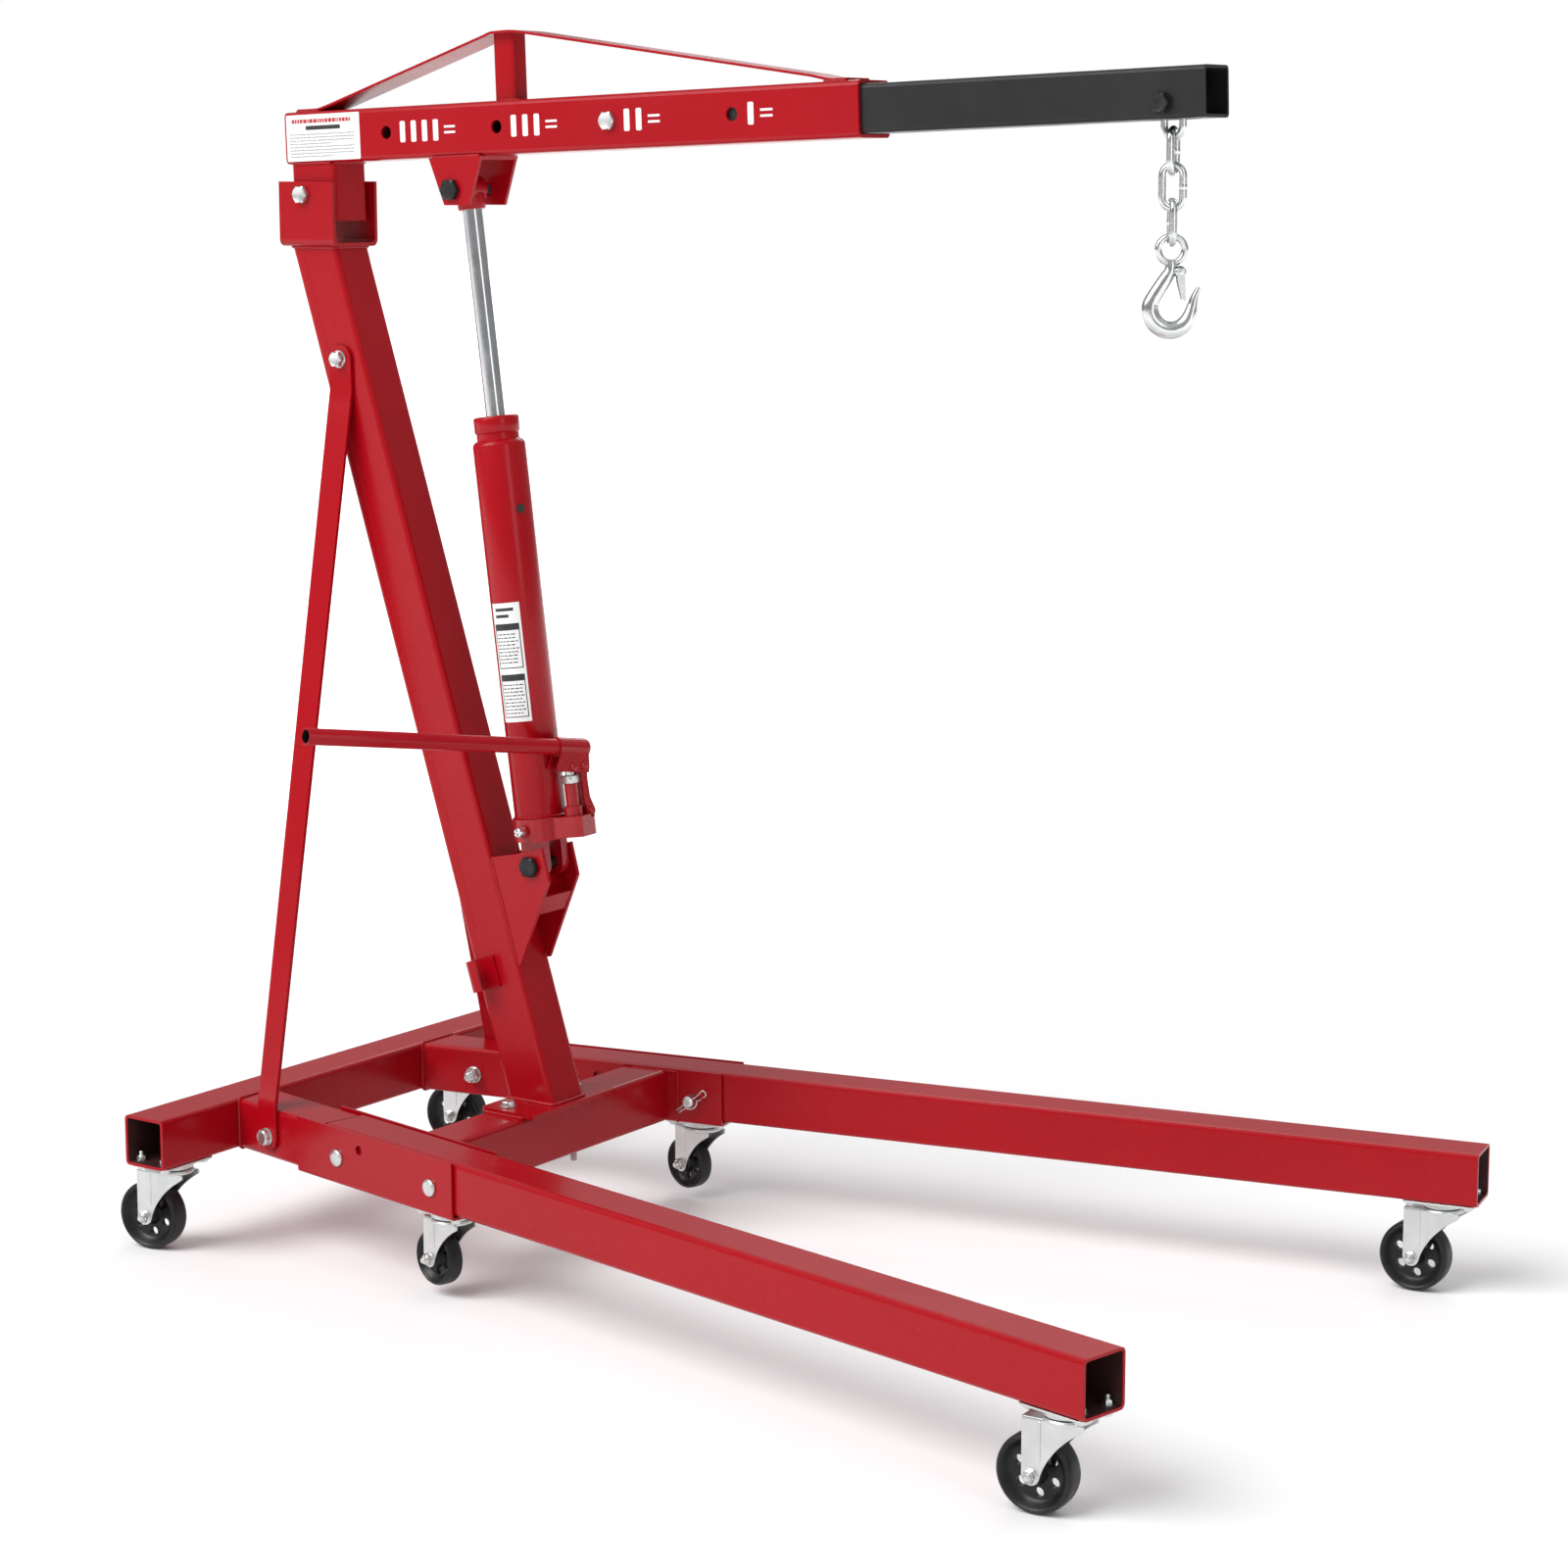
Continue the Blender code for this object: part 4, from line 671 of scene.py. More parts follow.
def caster_plate(name, c, frame_at, body, wall):
    length, width = c.plate
    plate = prism(rounded(length, width, 0.007, 6), -0.0028, 0.0, "Z")
    cuts, bolts = [], []
    for sx in (-1, 1):
        for sy in (-1, 1):
            x, y = sx * (length / 2 - 0.010), sy * (width / 2 - 0.010)
            slot = rounded(0.0135, 0.0088, 0.0043, 5, x, y)
            cuts.append((prism(slot, -0.01, 0.01, "Z"), frame_at))
            here = frame_at @ Matrix.Translation((x, y, 0))
            shapes = [hex_head(-0.0028, 0.0115, 0.0045, -1, "Z")]
            if wall:
                shapes += [washer(wall, 0.003, 0.0075, 0.0012, "Z"),
                        hex_head(wall + 0.0012, 0.0115, 0.0060, 1, "Z"),
                        thread(wall + 0.005, wall + 0.0115, 0.0037, "Z")]
            else:
                shapes += [lathe([(-0.003, 0.0037), (0.0025, 0.0037)], "Z", 20)]
            bolts.append((shapes, here))
    holed(name + "_caster_plate_body", plate, cuts, frame_at, "zinc", body, 0.0005,
            stands_for=(name + "_caster_plate",))
    race = [(-0.0028, 0.018), (-0.0028, 0.0235), (-0.0040, 0.0262), (-0.0082, 0.0268), (-0.0094, 0.0255),
            (-0.0094, 0.0205)]
    piece(name + "_swivel_race", lathe(race, "Z", 64), frame_at, "zinc", body)
    for k, (shapes, here) in enumerate(bolts):
        piece("%s_caster_bolt_%d" % (name, k + 1), shapes, here, "zinc", body)


def fork_outline(c, drop):
    """One side of the fork: upright at the rear, with a hollow curve from the axle forward to the race."""
    start, pull, end = Vector((0.0116 - c.trail, 0.002 - drop)), Vector((0.024 - c.trail,
            -0.54 * drop)), Vector((0.0276, -0.0202))
    front = [tuple(start * (1 - t) ** 2 + pull * 2 * t * (1 - t) + end * t * t)
             for t in [i / 16 for i in range(17)]]
    return [(-c.trail - 0.0108, -0.0132)] + arc(-c.trail, -drop, 0.0108, 180, 345,
            16) + front + [(0.0278, -0.0170), (0.0272, -0.0140)]


def make_fork(name, c, level):
    drop = c.height - c.wheel_r
    half = c.wheel_w / 2 + 0.002
    outer = half + 0.003
    crown = [(-0.0100, 0.0140), (-0.0100, 0.0230), (-0.0106, 0.0262), (-0.0125, 0.0278), (-0.0150, 0.0278),
            (-0.0158, 0.0262), (-0.0158, 0.0140)]
    rear = -c.trail - 0.0108
    sheet = [(rear, -outer), (0.0, -outer), (0.0, outer), (rear, outer)]
    fork = [lathe(crown, "Z", 64), prism(sheet, -0.0160, -0.0130, "Z")]
    fold = rear + 0.0215
    for side in (-1, 1):
        y0, y1 = sorted((side * half, side * outer))
        fork.append(prism(fork_outline(c, drop), y0, y1))
        y0, y1 = sorted((side * (outer - 0.0004), side * (outer + 0.0007)))
        fork.append(prism([(fold - 0.0012, -0.0170), (fold - 0.0012, 0.017 - drop),
                (fold + 0.0012, 0.017 - drop), (fold + 0.0012, -0.0170)], y0, y1))
    piece(name + "_fork_body", fork, level, "zinc", name + "_fork", bevel=0.0009, stands_for=(name + "_fork",))
    rivet = [(-0.0158, 0.0085), (-0.0185, 0.0085), (-0.0202, 0.0062), (-0.0206, 0.0030)]
    piece(name + "_kingpin", lathe(rivet, "Z", 32), level, "zinc", name + "_fork")
    at = level @ Matrix.Translation((-c.trail, 0, -drop))
    shapes = [hex_head(outer, 0.0135, 0.0052, 1), hex_head(-outer, 0.0135, 0.0065, -1),
            thread(-outer - 0.004, -outer - 0.0115, 0.0042),
              washer(-outer - 0.0009, 0.004, 0.0082, 0.0010),
                      lathe([(-outer, 0.0042), (outer, 0.0042)], "Y", 24)]
    piece(name + "_axle_bolt", shapes, at, "zinc", name + "_fork")
    seal = [(-0.0093, 0.0205), (-0.0093, 0.0246), (-0.0101, 0.0246), (-0.0101, 0.0205)]
    piece(name + "_race_seal", lathe(seal, "Z", 48), level, "oxide", name + "_fork")


def make_wheel(name, c, level):
    """Dished black wheel with six holes through its thin web."""
    half, r = c.wheel_w / 2, c.wheel_r
    hub, bore = 0.0112, 0.0062
    side = [(bore, half), (hub - 0.0008, half), (hub, half - 0.0008), (hub + 0.0012, 0.0054),
            (hub + 0.0030, 0.0036),
            (r * 0.66, 0.0034), (r * 0.71, 0.0048), (r * 0.77, half * 0.50), (r * 0.84, half * 0.82),
                    (r * 0.87, half * 0.92),
            (r * 0.90, half * 0.96), (r - 0.0030, half * 0.93), (r - 0.0010, half * 0.80),
                    (r - 0.0002, half * 0.58), (r, half * 0.30)]
    profile = [(-y, p) for p, y in side] + [(y, p) for p, y in side[::-1]]
    shape = lathe(profile, "Y", 96, closed=True)
    at = level @ Matrix.Translation((-c.trail, 0, -(c.height - c.wheel_r)))
    middle, hole = r * 0.510, r * 0.128
    cuts = []
    for k in range(6):
        a = 2 * pi * k / 6 - 0.41
        cuts.append((lathe([(-0.03, hole), (0.03, hole)], "Y", 28, middle * cos(a), middle * sin(a)), at))
    holed(name + "_wheel_body", shape, cuts, at, "plastic", name + "_wheel", 0.0004,
            stands_for=(name + "_wheel",))
    bush = [(-half - 0.0010, 0.0046), (-half - 0.0010, 0.0061), (half + 0.0010, 0.0061),
            (half + 0.0010, 0.0046)]
    piece(name + "_wheel_bush", lathe(bush, "Y", 32, closed=True), at, "zinc", name + "_wheel")


def make_casters():
    for side, name in ((-1, "right"), (1, "left")):
        for place, c, body, wall in (("rear_", REAR, "base", 0.0045), ("mid_", MID, "base", 0.0),
                ("tip_", TIP, name + "_leg", 0.0040)):
            at = caster_frame(place, side)
            full = place + name
            caster_plate(full, c, at, body, wall)
            level = Matrix.Translation(at.to_translation()) @ Matrix.Rotation(HEADINGS[place], 4, "Z")
            make_fork(full, c, level)
            make_wheel(full, c, level)


# ---- boom ---------------------------------------------------------------------------------------------------
def make_strap():
    foot = BOOM_UNDER + BOOM_SIZE + GAP + 0.00175
    nodes = [(-0.020, foot), (0.016, foot), (0.036, foot + 0.005), (0.300, 0.1885), (0.312, 0.1925),
            (0.342, 0.1930), (0.360, 0.1910), (0.800, foot + 0.0065), (0.828, foot), (0.852, foot)]
    line = []
    for i, p in enumerate(nodes):
        if i in (0, len(nodes) - 1):
            line.append(Vector(p))
            continue
        a, b = Vector(nodes[i - 1]), Vector(nodes[i + 1])
        here = Vector(p)
        reach = min(0.005, (here - a).length * 0.4, (b - here).length * 0.4)
        start, end = here + (a - here).normalized() * reach, here + (b - here).normalized() * reach
        for t in (0, 0.25, 0.5, 0.75, 1):
            line.append(start * (1 - t) ** 2 + here * 2 * t * (1 - t) + end * t * t)
    rings = []
    for i, p in enumerate(line):
        before, after = line[max(i - 1, 0)], line[min(i + 1, len(line) - 1)]
        d = (after - before).normalized()
        up = Vector((-d.y, 0, d.x)) * 0.00175
        mid = Vector((p.x, 0, p.y))
        w = Vector((0, 0.025, 0))
        rings.append([mid - up - w, mid + up - w, mid + up + w, mid - up + w])
    piece("boom_strap_bar", loft(rings), boom_frame(), "red", "boom", bevel=0.0008, smooth=30,
            stands_for=("boom_strap",))
    outer, inner = rounded(0.033, 0.028, 0.0045, 5, 0.3240), rounded(0.027, 0.022, 0.002, 5, 0.3240)
    low, high = BOOM_UNDER + BOOM_SIZE + GAP, 0.1916
    rings = [[(a, b, at) for a, b in s] for s, at in ((outer, low), (outer, high), (inner, high), (inner, low))]
    piece("boom_strut_tube", loft(rings, closed=True), boom_frame(), "red", "boom")


def make_boom_fasteners():
    b, half = boom_frame(), BOOM_SIZE / 2
    at = b @ Matrix.Translation((BOOM_HOLES[2], 0, BOOM_HOLE_Z))
    through_bolt("boom_lock_bolt_body", at, -half, half, 0.0215, PIN_R, "zinc", "boom", head=0.0078,
            stands_for=("boom_lock_bolt",), wash=False)
    pin = b.inverted() @ world(*RAM_PIN)
    at = b @ Matrix.Translation(pin)
    through_bolt("ram_pin_bolt_body", at, -0.038, 0.038, 0.025, PIN_R, "oxide", "boom", head=0.0080,
            stands_for=("ram_pin_bolt",), wash=False)
    w = EXT_SIZE / 2 + GAP
    at = b @ Matrix.Translation(CHAIN_BOLT)
    through_bolt("chain_bolt_body", at, -w, w, 0.0205, CHAIN_BOLT_R, "oxide", "extension", head=0.0075,
            stands_for=("chain_bolt",))
    piece("chain_bolt_shank", lathe([(-w, CHAIN_BOLT_R), (w, CHAIN_BOLT_R)], "Y", 32), at, "oxide", "extension")


def flat_mark(name, outline, matrix, look, body, lift=0.00018):
    """A thin printed or painted patch: an outline in x and z on the right side of a part, facing -y."""
    return piece(name, prism(outline, -lift, 0.0003), matrix, look, body)


def rect(x0, z0, x1, z1, r=0.0012):
    return rounded(x1 - x0, z1 - z0, min(r, (z1 - z0) * 0.45, (x1 - x0) * 0.45), 3, (x0 + x1) / 2,
            (z0 + z1) / 2)


def text_rows(name, matrix, body, x0, x1, z_top, rows, pitch, height, look, seed=1):
    """Rows of short bars that stand for small print."""
    shapes = []
    state = seed
    for row in range(rows):
        x = x0
        stop = x1 - (x1 - x0) * (0.35 if row % 4 == 3 else 0.03)
        while x < stop - 0.002:
            state = (state * 1103515245 + 12345) % 2147483648
            width = 0.0018 + 0.0042 * (state / 2147483648)
            width = min(width, stop - x)
            z = z_top - row * pitch
            shapes.append(prism([(x, z - height), (x + width, z - height), (x + width, z), (x, z)], -0.00030,
                    0.0))
            x += width + 0.0012
    return piece(name, shapes, matrix, look, body)


def make_boom_marks():
    """Label at the boom's rear and painted position marks beside its holes, both sides."""
    for side, tag in ((-1, "right"), (1, "left")):
        turn = Matrix.Identity(4) if side < 0 else Matrix.Rotation(pi, 4, "Z")
        at = boom_frame() @ Matrix.Translation((0, side * (BOOM_SIZE / 2), 0)) @ turn
        sign = -side

        def x(value):
            return value * sign

        def span(a, b):
            return (min(x(a), x(b)), max(x(a), x(b)))

        for k, hole in enumerate(BOOM_HOLES):
            marks = []
            for j in range(4 - k):
                lo, hi = span(hole + 0.024 + j * 0.0185, hole + 0.024 + j * 0.0185 + 0.0085)
                marks.append(prism(rect(lo, 0.0615, hi, 0.0885, 0.002), -0.00025, 0.0003))
            lo, hi = span(hole + 0.024 + (4 - k) * 0.0185, hole + 0.042 + (4 - k) * 0.0185)
            marks.append(prism([(lo, 0.0700), (hi, 0.0700), (hi, 0.0728), (lo, 0.0728)], -0.00025, 0.0003))
            marks.append(prism([(lo, 0.0772), (hi, 0.0772), (hi, 0.0800), (lo, 0.0800)], -0.00025, 0.0003))
            piece("boom_mark_%s_%d" % (tag, k + 1), marks, at, "white_ink", "boom")
        if side > 0:
            continue
        x0, x1 = BOOM_REAR + 0.0025, BOOM_REAR + 0.1300
        flat_mark("boom_label", rect(x0, 0.0432, x1, 0.1035, 0.002), at, "label", "boom")
        flat_mark("boom_label_band", rect(x0 + 0.034, 0.0835, x0 + 0.094, 0.0888, 0.0006), at, "ink", "boom",
                0.00030)
        text_rows("boom_label_title", at, "boom", x0 + 0.010, x1 - 0.010, 0.0975, 1, 0.01, 0.0050, "red_ink", 7)
        text_rows("boom_label_print", at, "boom", x0 + 0.006, x1 - 0.006, 0.0785, 8, 0.0041, 0.0013, "grey_ink",
                3)


# ---- chain and hook -----------------------------------------------------------------------------------------
def chain_top():
    return boom_frame() @ CHAIN_BOLT + Vector((0, 0, CHAIN_BOLT_R + 0.0004))


def link_centre(index):
    return chain_top() + Vector((0, 0, -LINK_INSIDE / 2 - index * (LINK_INSIDE - 0.0004)))


def link_turn(index):
    return index * HANG_TURN / 3 + (pi / 2 if index % 2 else 0.0)


def make_chain():
    bend = (LINK_WIDTH - LINK_WIRE) / 2
    straight = LINK_INSIDE / 2 + LINK_WIRE / 2 - bend
    for index in range(4):
        path = [(u, 0, v) for u, v in arc(0, straight, bend, 0, 180, 18)]
        path += [(-bend, 0, straight - 2 * straight * t / 8) for t in range(1, 8)]
        path += [(u, 0, v) for u, v in arc(0, -straight, bend, 180, 360, 18)]
        path += [(bend, 0, -straight + 2 * straight * t / 24) for t in range(1, 24)]
        radii = []
        for u, _, v in path:
            bump = 0.00045 * max(0.0, 1 - abs(v) / 0.0022) if u > 0 else 0.0
            radii.append(LINK_WIRE / 2 + bump)
        turn = Matrix.Translation(link_centre(index)) @ Matrix.Rotation(link_turn(index), 4, "Z")
        piece("chain_link_%d_body" % (index + 1), sweep(path, radii, 18, closed=True), turn,
                "galvanised", "chain_link_%d" % (index + 1), stands_for=("chain_link_%d" % (index + 1),))


def hook_frame():
    last = link_centre(3) + Vector((0, 0, -LINK_INSIDE / 2))
    return Matrix.Translation(last + Vector((0, 0, 0.0004 - 0.0110))) @ Matrix.Rotation(HANG_TURN, 4, "Z")


def curve(points, steps):
    """Smooth curve through points, each (x, z, radius)."""
    out = []
    for i in range(len(points) - 1):
        p0, p1, p2, p3 = points[max(i - 1, 0)], points[i], points[i + 1], points[min(i + 2, len(points) - 1)]
        for k in range(steps):
            t = k / steps
            out.append(tuple(0.5 * (2 * b + (c - a) * t + (2 * a - 5 * b + 4 * c - d) * t * t
                                    + (3 * b - a - 3 * c + d) * t ** 3)
                             for a, b, c, d in zip(p0, p1, p2, p3)))
    return out + [points[-1]]


def make_hook():
    steps = 7
    centre, bowl = HOOK_CENTRE, HOOK_BOWL
    line = [(0.0, -0.0130, 0.0062), (-0.0010, -0.0240, 0.0068), (-0.0072, -0.0345, 0.0082)]
    for a, r in ((150, 0.0092), (172, 0.0098), (196, 0.0102), (222, 0.0106), (250, 0.0108), (275, 0.0106),
            (300, 0.0102), (324, 0.0094), (346, 0.0082)):
        line.append((bowl * cos(radians(a)), centre + bowl * sin(radians(a)), r))
    line += [(0.0248, centre + 0.0035, 0.0066), (0.0278, centre + 0.0150, 0.0048),
            (0.0325, centre + 0.0255, 0.0030)]
    smooth = curve(line, steps)
    body = sweep([(u, 0, v) for u, v, _ in smooth], [r for _, _, r in smooth], 22, flat=0.92)
    middle, bar = 0.0150, 0.0040
    eye = sweep([(u, 0, v) for u, v in arc(0, 0, middle, 0, 352.5, 47)], bar, 20, closed=True,
            flat=1.05)
    lug = lathe([(-0.0080, 0.0046), (-0.0072, 0.0054), (0.0072, 0.0054), (0.0080, 0.0046)], "Y", 28,
            LATCH.x - 0.001, LATCH.z)
    piece("hook_body", [body, eye, lug], hook_frame(), "galvanised", "hook", smooth=60, stands_for=("hook",))
    at = hook_frame() @ Matrix.Translation(LATCH)
    tip = LATCH_TIP - LATCH
    outline = [(-0.0046, 0.0042), (0.0044, 0.0044), (0.0052, -0.0080), (tip.x + 0.0022, tip.z),
            (tip.x - 0.0008, tip.z - 0.0008), (-0.0030, -0.0110)]
    shapes = [prism(outline, -0.0104, -0.0090), prism(outline, 0.0090, 0.0104)]
    spine = [(0.0032, 0.0030), (0.0050, 0.0022), (tip.x + 0.0032, tip.z - 0.0010),
            (tip.x + 0.0016, tip.z - 0.0014)]
    shapes.append(prism(spine, -0.0100, 0.0100))
    piece("hook_latch_strip", shapes, at, "zinc", "hook_latch", bevel=0.0004, stands_for=("hook_latch",))
    rivet = [(-0.0122, 0.0018), (-0.0116, 0.0032), (-0.0104, 0.0036), (0.0104, 0.0036), (0.0116, 0.0032),
            (0.0122, 0.0018)]
    piece("hook_latch_rivet", lathe(rivet, "Y", 28), at, "zinc", "hook")
    coil = []
    for k in range(3):
        y = -0.0040 + 0.0034 * k
        ring = [(0.0060 * cos(2 * pi * i / 20), y, 0.0060 * sin(2 * pi * i / 20)) for i in range(20)]
        coil.append(sweep(ring, 0.0007, 8, closed=True))
    piece("hook_latch_spring", coil, at, "oxide", "hook_latch")


HOOK_CENTRE, HOOK_BOWL = -0.0672, 0.0232
LATCH, LATCH_TIP = Vector((0.0098, 0, -0.0250)), Vector((0.0130, 0, -0.0560))


# ---- jack ---------------------------------------------------------------------------------------------------
def make_jack():
    j = jack_frame()
    low = BASE_HIGH + GAP
    levels = [(low, CYLINDER_R - 0.0006), (low + 0.0008, CYLINDER_R), (0.5480, CYLINDER_R),
            (0.5505, CYLINDER_R - 0.0008), (0.5535, CYLINDER_R - 0.0032), (0.5555, COLLAR_R - 0.0020),
              (0.5638, COLLAR_R - 0.0020), (0.5648, COLLAR_R - 0.0006), (0.5658, COLLAR_R), (0.5825, COLLAR_R),
                      (0.5845, COLLAR_R - 0.0008), (0.5858, COLLAR_R - 0.0030),
              (0.5860, RAM_R + 0.0030), (0.5830, RAM_R + 0.0022), (0.5830, RAM_R + 0.0005),
                      (low + 0.011, RAM_R + 0.0005)]
    piece("jack_cylinder_body", lathe(levels, "Z", 112), j, "red", "jack_barrel",
            stands_for=("jack_cylinder",))
    seal = lathe([(0.5832, RAM_R + 0.0003), (0.5832, RAM_R + 0.0021), (0.5850, RAM_R + 0.0017),
            (0.5850, RAM_R + 0.0003)], "Z", 48, closed=True)
    piece("jack_wiper_seal", seal, j, "rubber", "jack_barrel")
    top = (RAM_PIN - JACK_FOOT).length
    rod = lathe([(0.3000, RAM_R - 0.001), (0.3010, RAM_R), (top - 0.024, RAM_R)], "Z", 80)
    piece("jack_ram_rod", rod, j, "chrome", "ram", stands_for=("jack_ram",))
    cap = lathe([(top - 0.0257, RAM_R), (top - 0.0257, 0.0165), (top - 0.0250, 0.0174), (top - 0.0235, 0.0180),
            (top - 0.006, 0.0180), (top - 0.004, 0.0150)], "Z", 56)
    eye = lathe([(-0.0150, 0.0102), (-0.0150, 0.0172), (-0.0142, 0.0180), (0.0142, 0.0180), (0.0150, 0.0172),
            (0.0150, 0.0102)], "Y", 56, 0, top, closed=True)
    piece("jack_ram_head", [cap], j, "red", "ram")
    piece("jack_ram_eye", [eye], j, "red", "ram")
    plug_at = j @ Matrix.Rotation(radians(-18), 4, "Z") @ Matrix.Translation((0, 0, 0.4640))
    plug = [(CYLINDER_R - 0.004, 0.0050), (CYLINDER_R + 0.0004, 0.0062), (CYLINDER_R + 0.0018, 0.0058),
            (CYLINDER_R + 0.0022, 0.0040), (CYLINDER_R + 0.0016, 0.0022)]
    piece("filler_plug", lathe(plug, "X", 32), plug_at, "rubber", "jack_barrel")
    piece("cylinder_foot_weld", lathe([(BASE_HIGH + GAP - 0.0006, 0.0352), (BASE_HIGH + GAP + 0.0010, 0.0366),
            (BASE_HIGH + GAP + 0.0028, 0.0346)], "Z", 96), j, "red_weld", "jack_barrel")


def wrapped(name, radius, a0, a1, z0, z1, look, lift, matrix, body):
    """A patch wrapped round a cylinder, between two angles in degrees and two heights."""
    shape = bmesh.new()
    steps = max(2, int(abs(a1 - a0) / 3))
    rings = []
    for r in (radius + lift, radius + 0.00002):
        for z in (z0, z1):
            rings.append([shape.verts.new((r * cos(radians(a0 + (a1 - a0) * i / steps)),
                    r * sin(radians(a0 + (a1 - a0) * i / steps)), z)) for i in range(steps + 1)])
    outer_low, outer_high, inner_low, inner_high = rings
    for i in range(steps):
        shape.faces.new((outer_low[i], outer_low[i + 1], outer_high[i + 1], outer_high[i]))
        shape.faces.new((inner_low[i], inner_high[i], inner_high[i + 1], inner_low[i + 1]))
        shape.faces.new((outer_high[i], outer_high[i + 1], inner_high[i + 1], inner_high[i]))
        shape.faces.new((outer_low[i + 1], outer_low[i], inner_low[i], inner_low[i + 1]))
    for i in (0, steps):
        shape.faces.new((outer_low[i], outer_high[i], inner_high[i], inner_low[i]))
    bmesh.ops.recalc_face_normals(shape, faces=shape.faces)
    return shape if name is None else piece(name, shape, matrix, look, body)


def make_jack_label():
    """White label on the cylinder with two dark framed panels of small print."""
    j = jack_frame()
    a0, a1 = -118.0, -46.0
    z0, z1 = 0.190, 0.345
    wrapped("jack_label", CYLINDER_R, a0, a1, z0, z1, "label", 0.00022, j, "jack_barrel")
    ink, state = [], 11
    for low, high in ((0.196, 0.252), (0.260, 0.318)):
        for a, b, z, w in ((a0 + 5, a1 - 5, low, low + 0.0012), (a0 + 5, a1 - 5, high - 0.0012, high)):
            ink.append(wrapped(None, CYLINDER_R, a, b, z, w, "ink", 0.00034, j, None))
        for a in (a0 + 5, a1 - 7):
            ink.append(wrapped(None, CYLINDER_R, a, a + 2, low, high, "ink", 0.00034, j, None))
        ink.append(wrapped(None, CYLINDER_R, a0 + 5, a1 - 5, high - 0.0085, high, "ink", 0.00034, j, None))
        row = high - 0.0130
        while row > low + 0.004:
            a = a0 + 10
            while a < a1 - 16:
                state = (state * 1103515245 + 12345) % 2147483648
                width = 3 + 8 * state / 2147483648
                ink.append(wrapped(None, CYLINDER_R, a, min(a + width, a1 - 10), row - 0.0014, row, "ink",
                        0.00034, j, None))
                a += width + 2.5
            row -= 0.0046
    for k, row in enumerate((0.3385, 0.3300)):
        ink.append(wrapped(None, CYLINDER_R, a0 + 12, a1 - 14 - 12 * k, row - 0.0040, row, "ink", 0.00034, j,
                None))
    piece("jack_label_print", ink, j, "ink", "jack_barrel")


def make_pump():
    p = pump_frame(0)
    top = RIVET_Z + 0.0050
    rod = lathe([(BARREL_TOP - 0.030, 0.0050), (BARREL_TOP - 0.029, 0.0055), (top - 0.0005, 0.0055),
            (top, 0.0048)], "Z", 40)
    slot = [(0.02, RIVET_Z - 0.0042), (0.02, RIVET_Z + 0.0036), (-0.0038, RIVET_Z + 0.0036),
            (-0.0038, RIVET_Z - 0.0042)]
    holed("pump_plunger_rod", rod, [(prism(slot, -0.03, 0.03, "X"), p)], p, "chrome", "pump_plunger",
            stands_for=("pump_plunger",))
    nut = [(BARREL_TOP - 0.0102, 0.0100), (BARREL_TOP - 0.0096, ("hex", 0.0205)),
            (BARREL_TOP - 0.0006, ("hex", 0.0205)),
           (BARREL_TOP + 0.0003, 0.0096), (BARREL_TOP + 0.0003, 0.0062)]
    piece("pump_gland_nut", lathe(nut, "Z", 48), p, "zinc", "jack_barrel")
    end = SOCKET_LENGTH / 2 - 0.0085
    tube = [(end, HANDLE_R), (end - HANDLE_LENGTH + 0.0006, HANDLE_R), (end - HANDLE_LENGTH, HANDLE_R - 0.0005),
            (end - HANDLE_LENGTH, HANDLE_R - 0.0018), (end, HANDLE_R - 0.0018)]
    piece("pump_handle_tube", lathe(tube, "Y", 72, closed=True), socket_frame(), "red",
            "pump_handle", stands_for=("pump_handle",))
    inner = [(end - 0.02, HANDLE_R - 0.0019), (end - HANDLE_LENGTH + 0.0012, HANDLE_R - 0.0019),
            (end - HANDLE_LENGTH + 0.0012, HANDLE_R - 0.0025), (end - 0.02, HANDLE_R - 0.0025)]
    piece("pump_handle_bore", lathe(inner, "Y", 48, closed=True), socket_frame(), "oxide", "pump_handle")
    rivet_heads("rocker_rivet_1", rocker_frame(), CHEEK_OUT + 0.0016, 0.0, 0.0, "pump_socket")
    rivet_heads("rocker_rivet_2", rocker_frame(), CHEEK_OUT + 0.0016, -ROCKER, 0.0, "pump_socket")
    rivet_heads("link_foot_rivet", p, ARM_OUT + 0.0018, ROCKER + FOOT_OUT, LINK_FOOT_Z, "jack_barrel")


def rivet_heads(name, matrix, face, u, v, body):
    """Domed heads at both ends of a rivet along x."""
    heads = []
    for s in (-1, 1):
        levels = [(s * (face - 0.0020), 0.0056), (s * face, 0.0054), (s * (face + 0.0012), 0.0042),
                (s * (face + 0.0017), 0.0016)]
        heads.append(lathe(levels, "X", 28, u, v))
    piece(name, heads, matrix, "red_cast", body)


# ---- stage --------------------------------------------------------------------------------------------------
def make_camera():
    """The photo's viewing angle, distance and lens."""
    data = bpy.data.cameras.new("camera")
    data.lens, data.sensor_width, data.sensor_fit = 82.47, 36.0, "HORIZONTAL"
    data.clip_start, data.clip_end = 0.05, 60.0
    camera = bpy.data.objects.new("camera", data)
    bpy.context.scene.collection.objects.link(camera)
    camera.location = (2.5592, -3.6232, 1.4106)
    camera.rotation_euler = (pi / 2 - radians(9.72), 0, radians(34.70))
    bpy.context.scene.camera = camera


def area_light(name, place, target, size, power, colour=(1, 1, 1)):
    data = bpy.data.lights.new(name, "AREA")
    data.shape, data.size, data.size_y, data.energy, data.color = "RECTANGLE", size[0], size[1], power, colour
    light = bpy.data.objects.new(name, data)
    bpy.context.scene.collection.objects.link(light)
    light.location = place
    light.rotation_euler = (Vector(target) - Vector(place)).to_track_quat("-Z", "Y").to_euler()


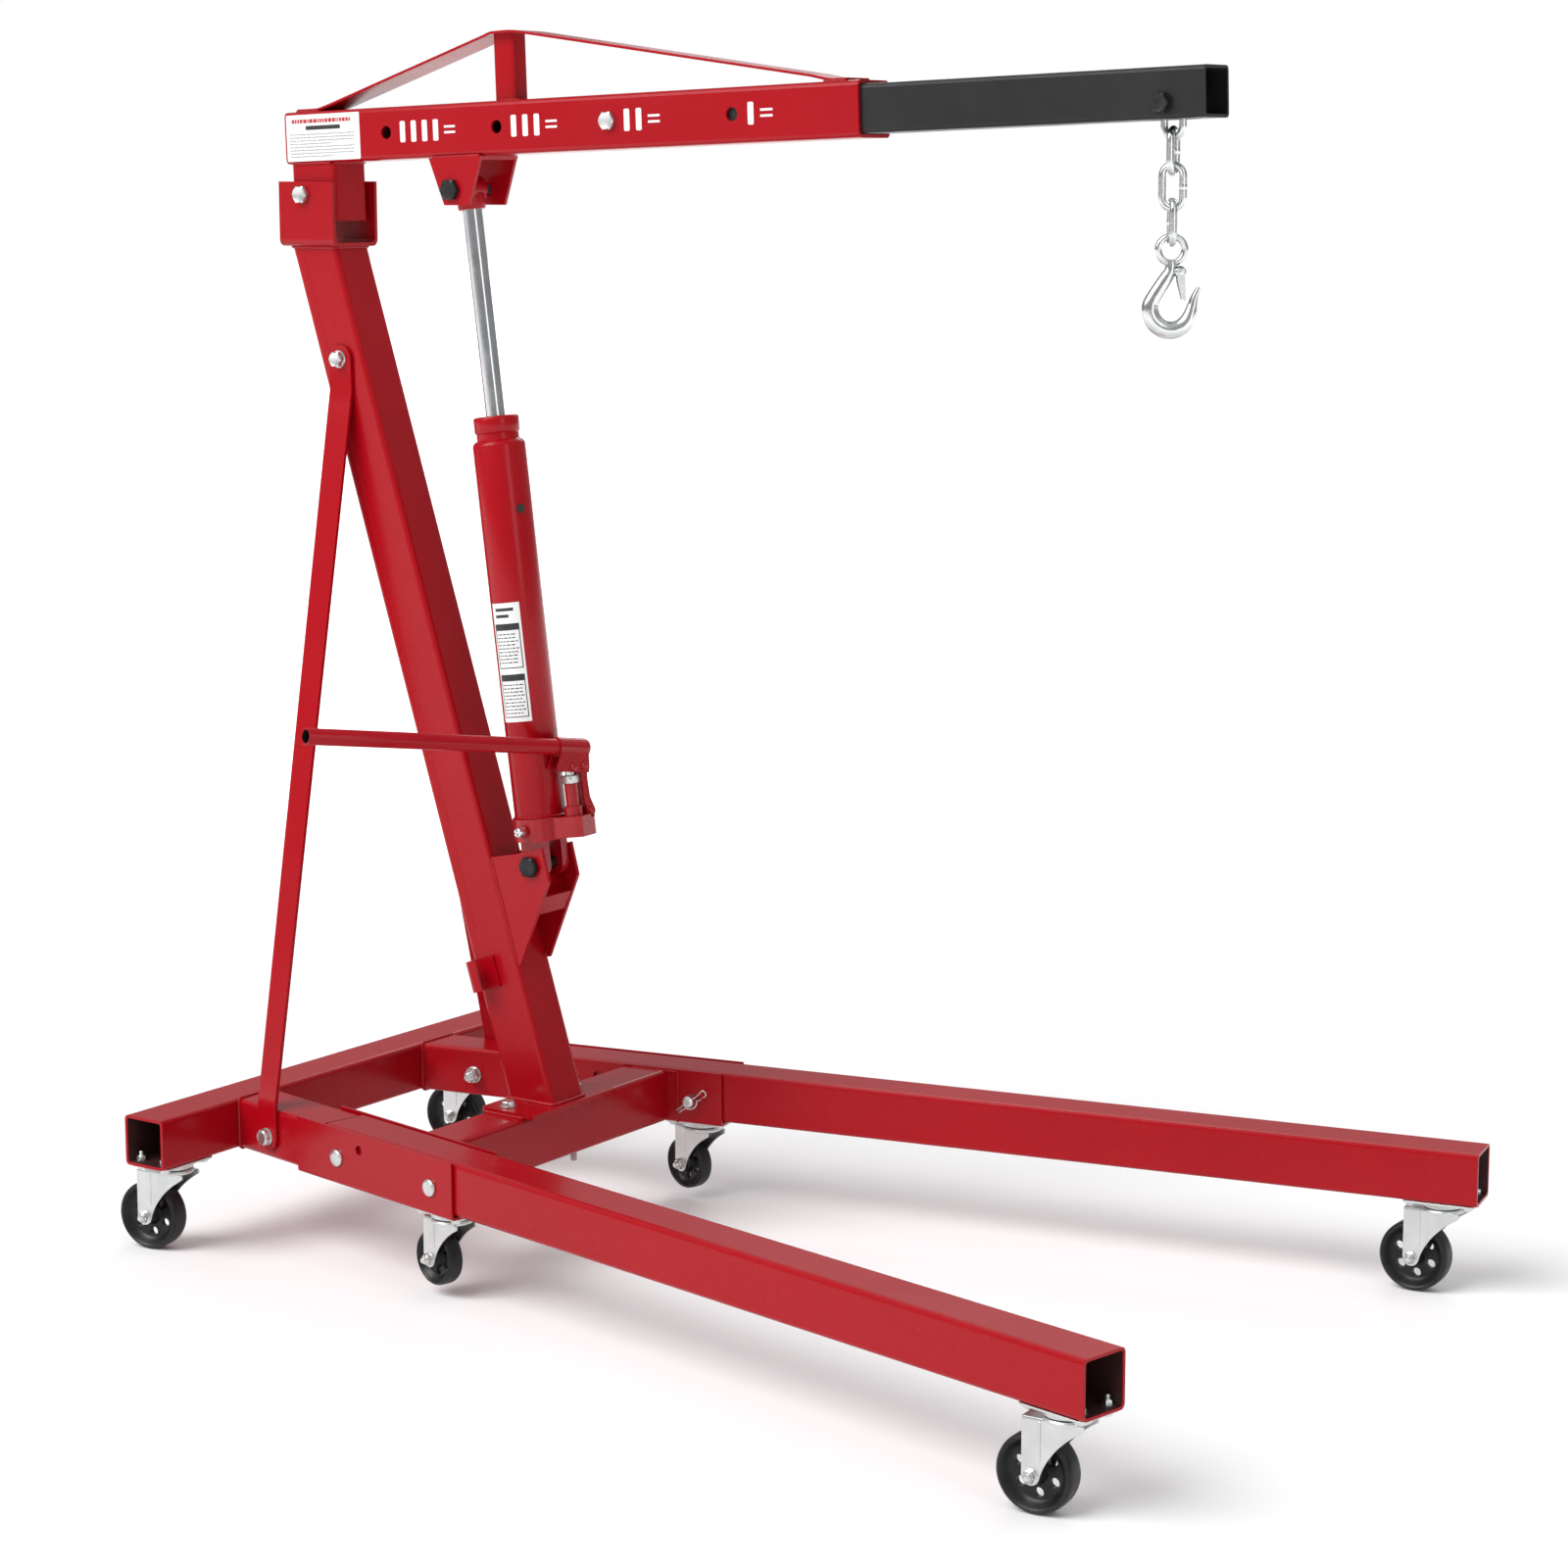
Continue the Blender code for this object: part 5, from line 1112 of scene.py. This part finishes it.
def make_stage():
    shape = bmesh.new()
    corners = [shape.verts.new(p) for p in ((-40, -40, 0), (40, -40, 0), (40, 40, 0), (-40, 40, 0))]
    shape.faces.new(corners)
    floor = bpy.data.objects.new("floor", mesh_of(shape, Matrix.Translation((0, 0, -0.0005))))
    floor.data.materials.append(M["floor"])
    bpy.context.scene.collection.objects.link(floor)
    sun = bpy.data.lights.new("sun", "SUN")
    sun.energy, sun.angle = 2.15, radians(40)
    lamp = bpy.data.objects.new("sun", sun)
    bpy.context.scene.collection.objects.link(lamp)
    lamp.rotation_euler = (radians(38), radians(-26), radians(8))
    area_light("key", (-2.8, -3.4, 3.6), (0, 0, 0.8), (1.6, 2.6), 46)
    area_light("fill", (4.6, -1.8, 2.4), (0, 0, 0.7), (1.2, 3.0), 26)
    area_light("back", (-1.5, 4.2, 3.4), (0, 0, 0.8), (3.0, 1.2), 34)
    sky = bpy.data.worlds.new("studio")
    sky.use_nodes = True
    tree = sky.node_tree
    lit = tree.nodes["Background"]
    split = tree.nodes.new("ShaderNodeSeparateXYZ")
    tree.links.new(tree.nodes.new("ShaderNodeTexCoord").outputs["Generated"], split.inputs["Vector"])
    ramp = tree.nodes.new("ShaderNodeValToRGB")
    ramp.color_ramp.elements[0].position, ramp.color_ramp.elements[1].position = 0.05, 0.80
    ramp.color_ramp.elements[0].color, ramp.color_ramp.elements[1].color = (0.26, 0.26, 0.27, 1), (0.62, 0.63,
            0.64, 1)
    tree.links.new(split.outputs["Z"], ramp.inputs["Fac"])
    tree.links.new(ramp.outputs["Color"], lit.inputs["Color"])
    seen = tree.nodes.new("ShaderNodeBackground")
    seen.inputs["Color"].default_value = (1, 1, 1, 1)
    mix = tree.nodes.new("ShaderNodeMixShader")
    tree.links.new(tree.nodes.new("ShaderNodeLightPath").outputs["Is Camera Ray"], mix.inputs["Fac"])
    tree.links.new(lit.outputs["Background"], mix.inputs[1])
    tree.links.new(seen.outputs["Background"], mix.inputs[2])
    tree.links.new(mix.outputs["Shader"], tree.nodes["World Output"].inputs["Surface"])
    bpy.context.scene.world = sky
    bpy.context.scene.view_settings.view_transform = "Standard"


# ---- build --------------------------------------------------------------------------------------------------
make_camera()
RED_NODES = ["rear_crossbar", "right_rail", "left_rail", "right_channel", "left_channel", "front_beam",
        "post_foot_plate", "post",
             "post_head_bracket", "jack_bracket", "right_leg", "left_leg", "boom_tube", "boom_pivot_block",
                     "ram_clevis"]
dress(RED_NODES, "red")
dress(["jack_base", "pump_socket", "pump_link"], "red_cast", 0.0004)
dress(["boom_extension"], "black")
dress(["release_valve"], "zinc", 0.0003)
painted_shade_insides()
make_braces()
make_base_fasteners()
make_welds()
make_casters()
make_strap()
make_boom_fasteners()
make_boom_marks()
make_chain()
make_hook()
make_jack()
make_jack_label()
make_pump()
make_stage()
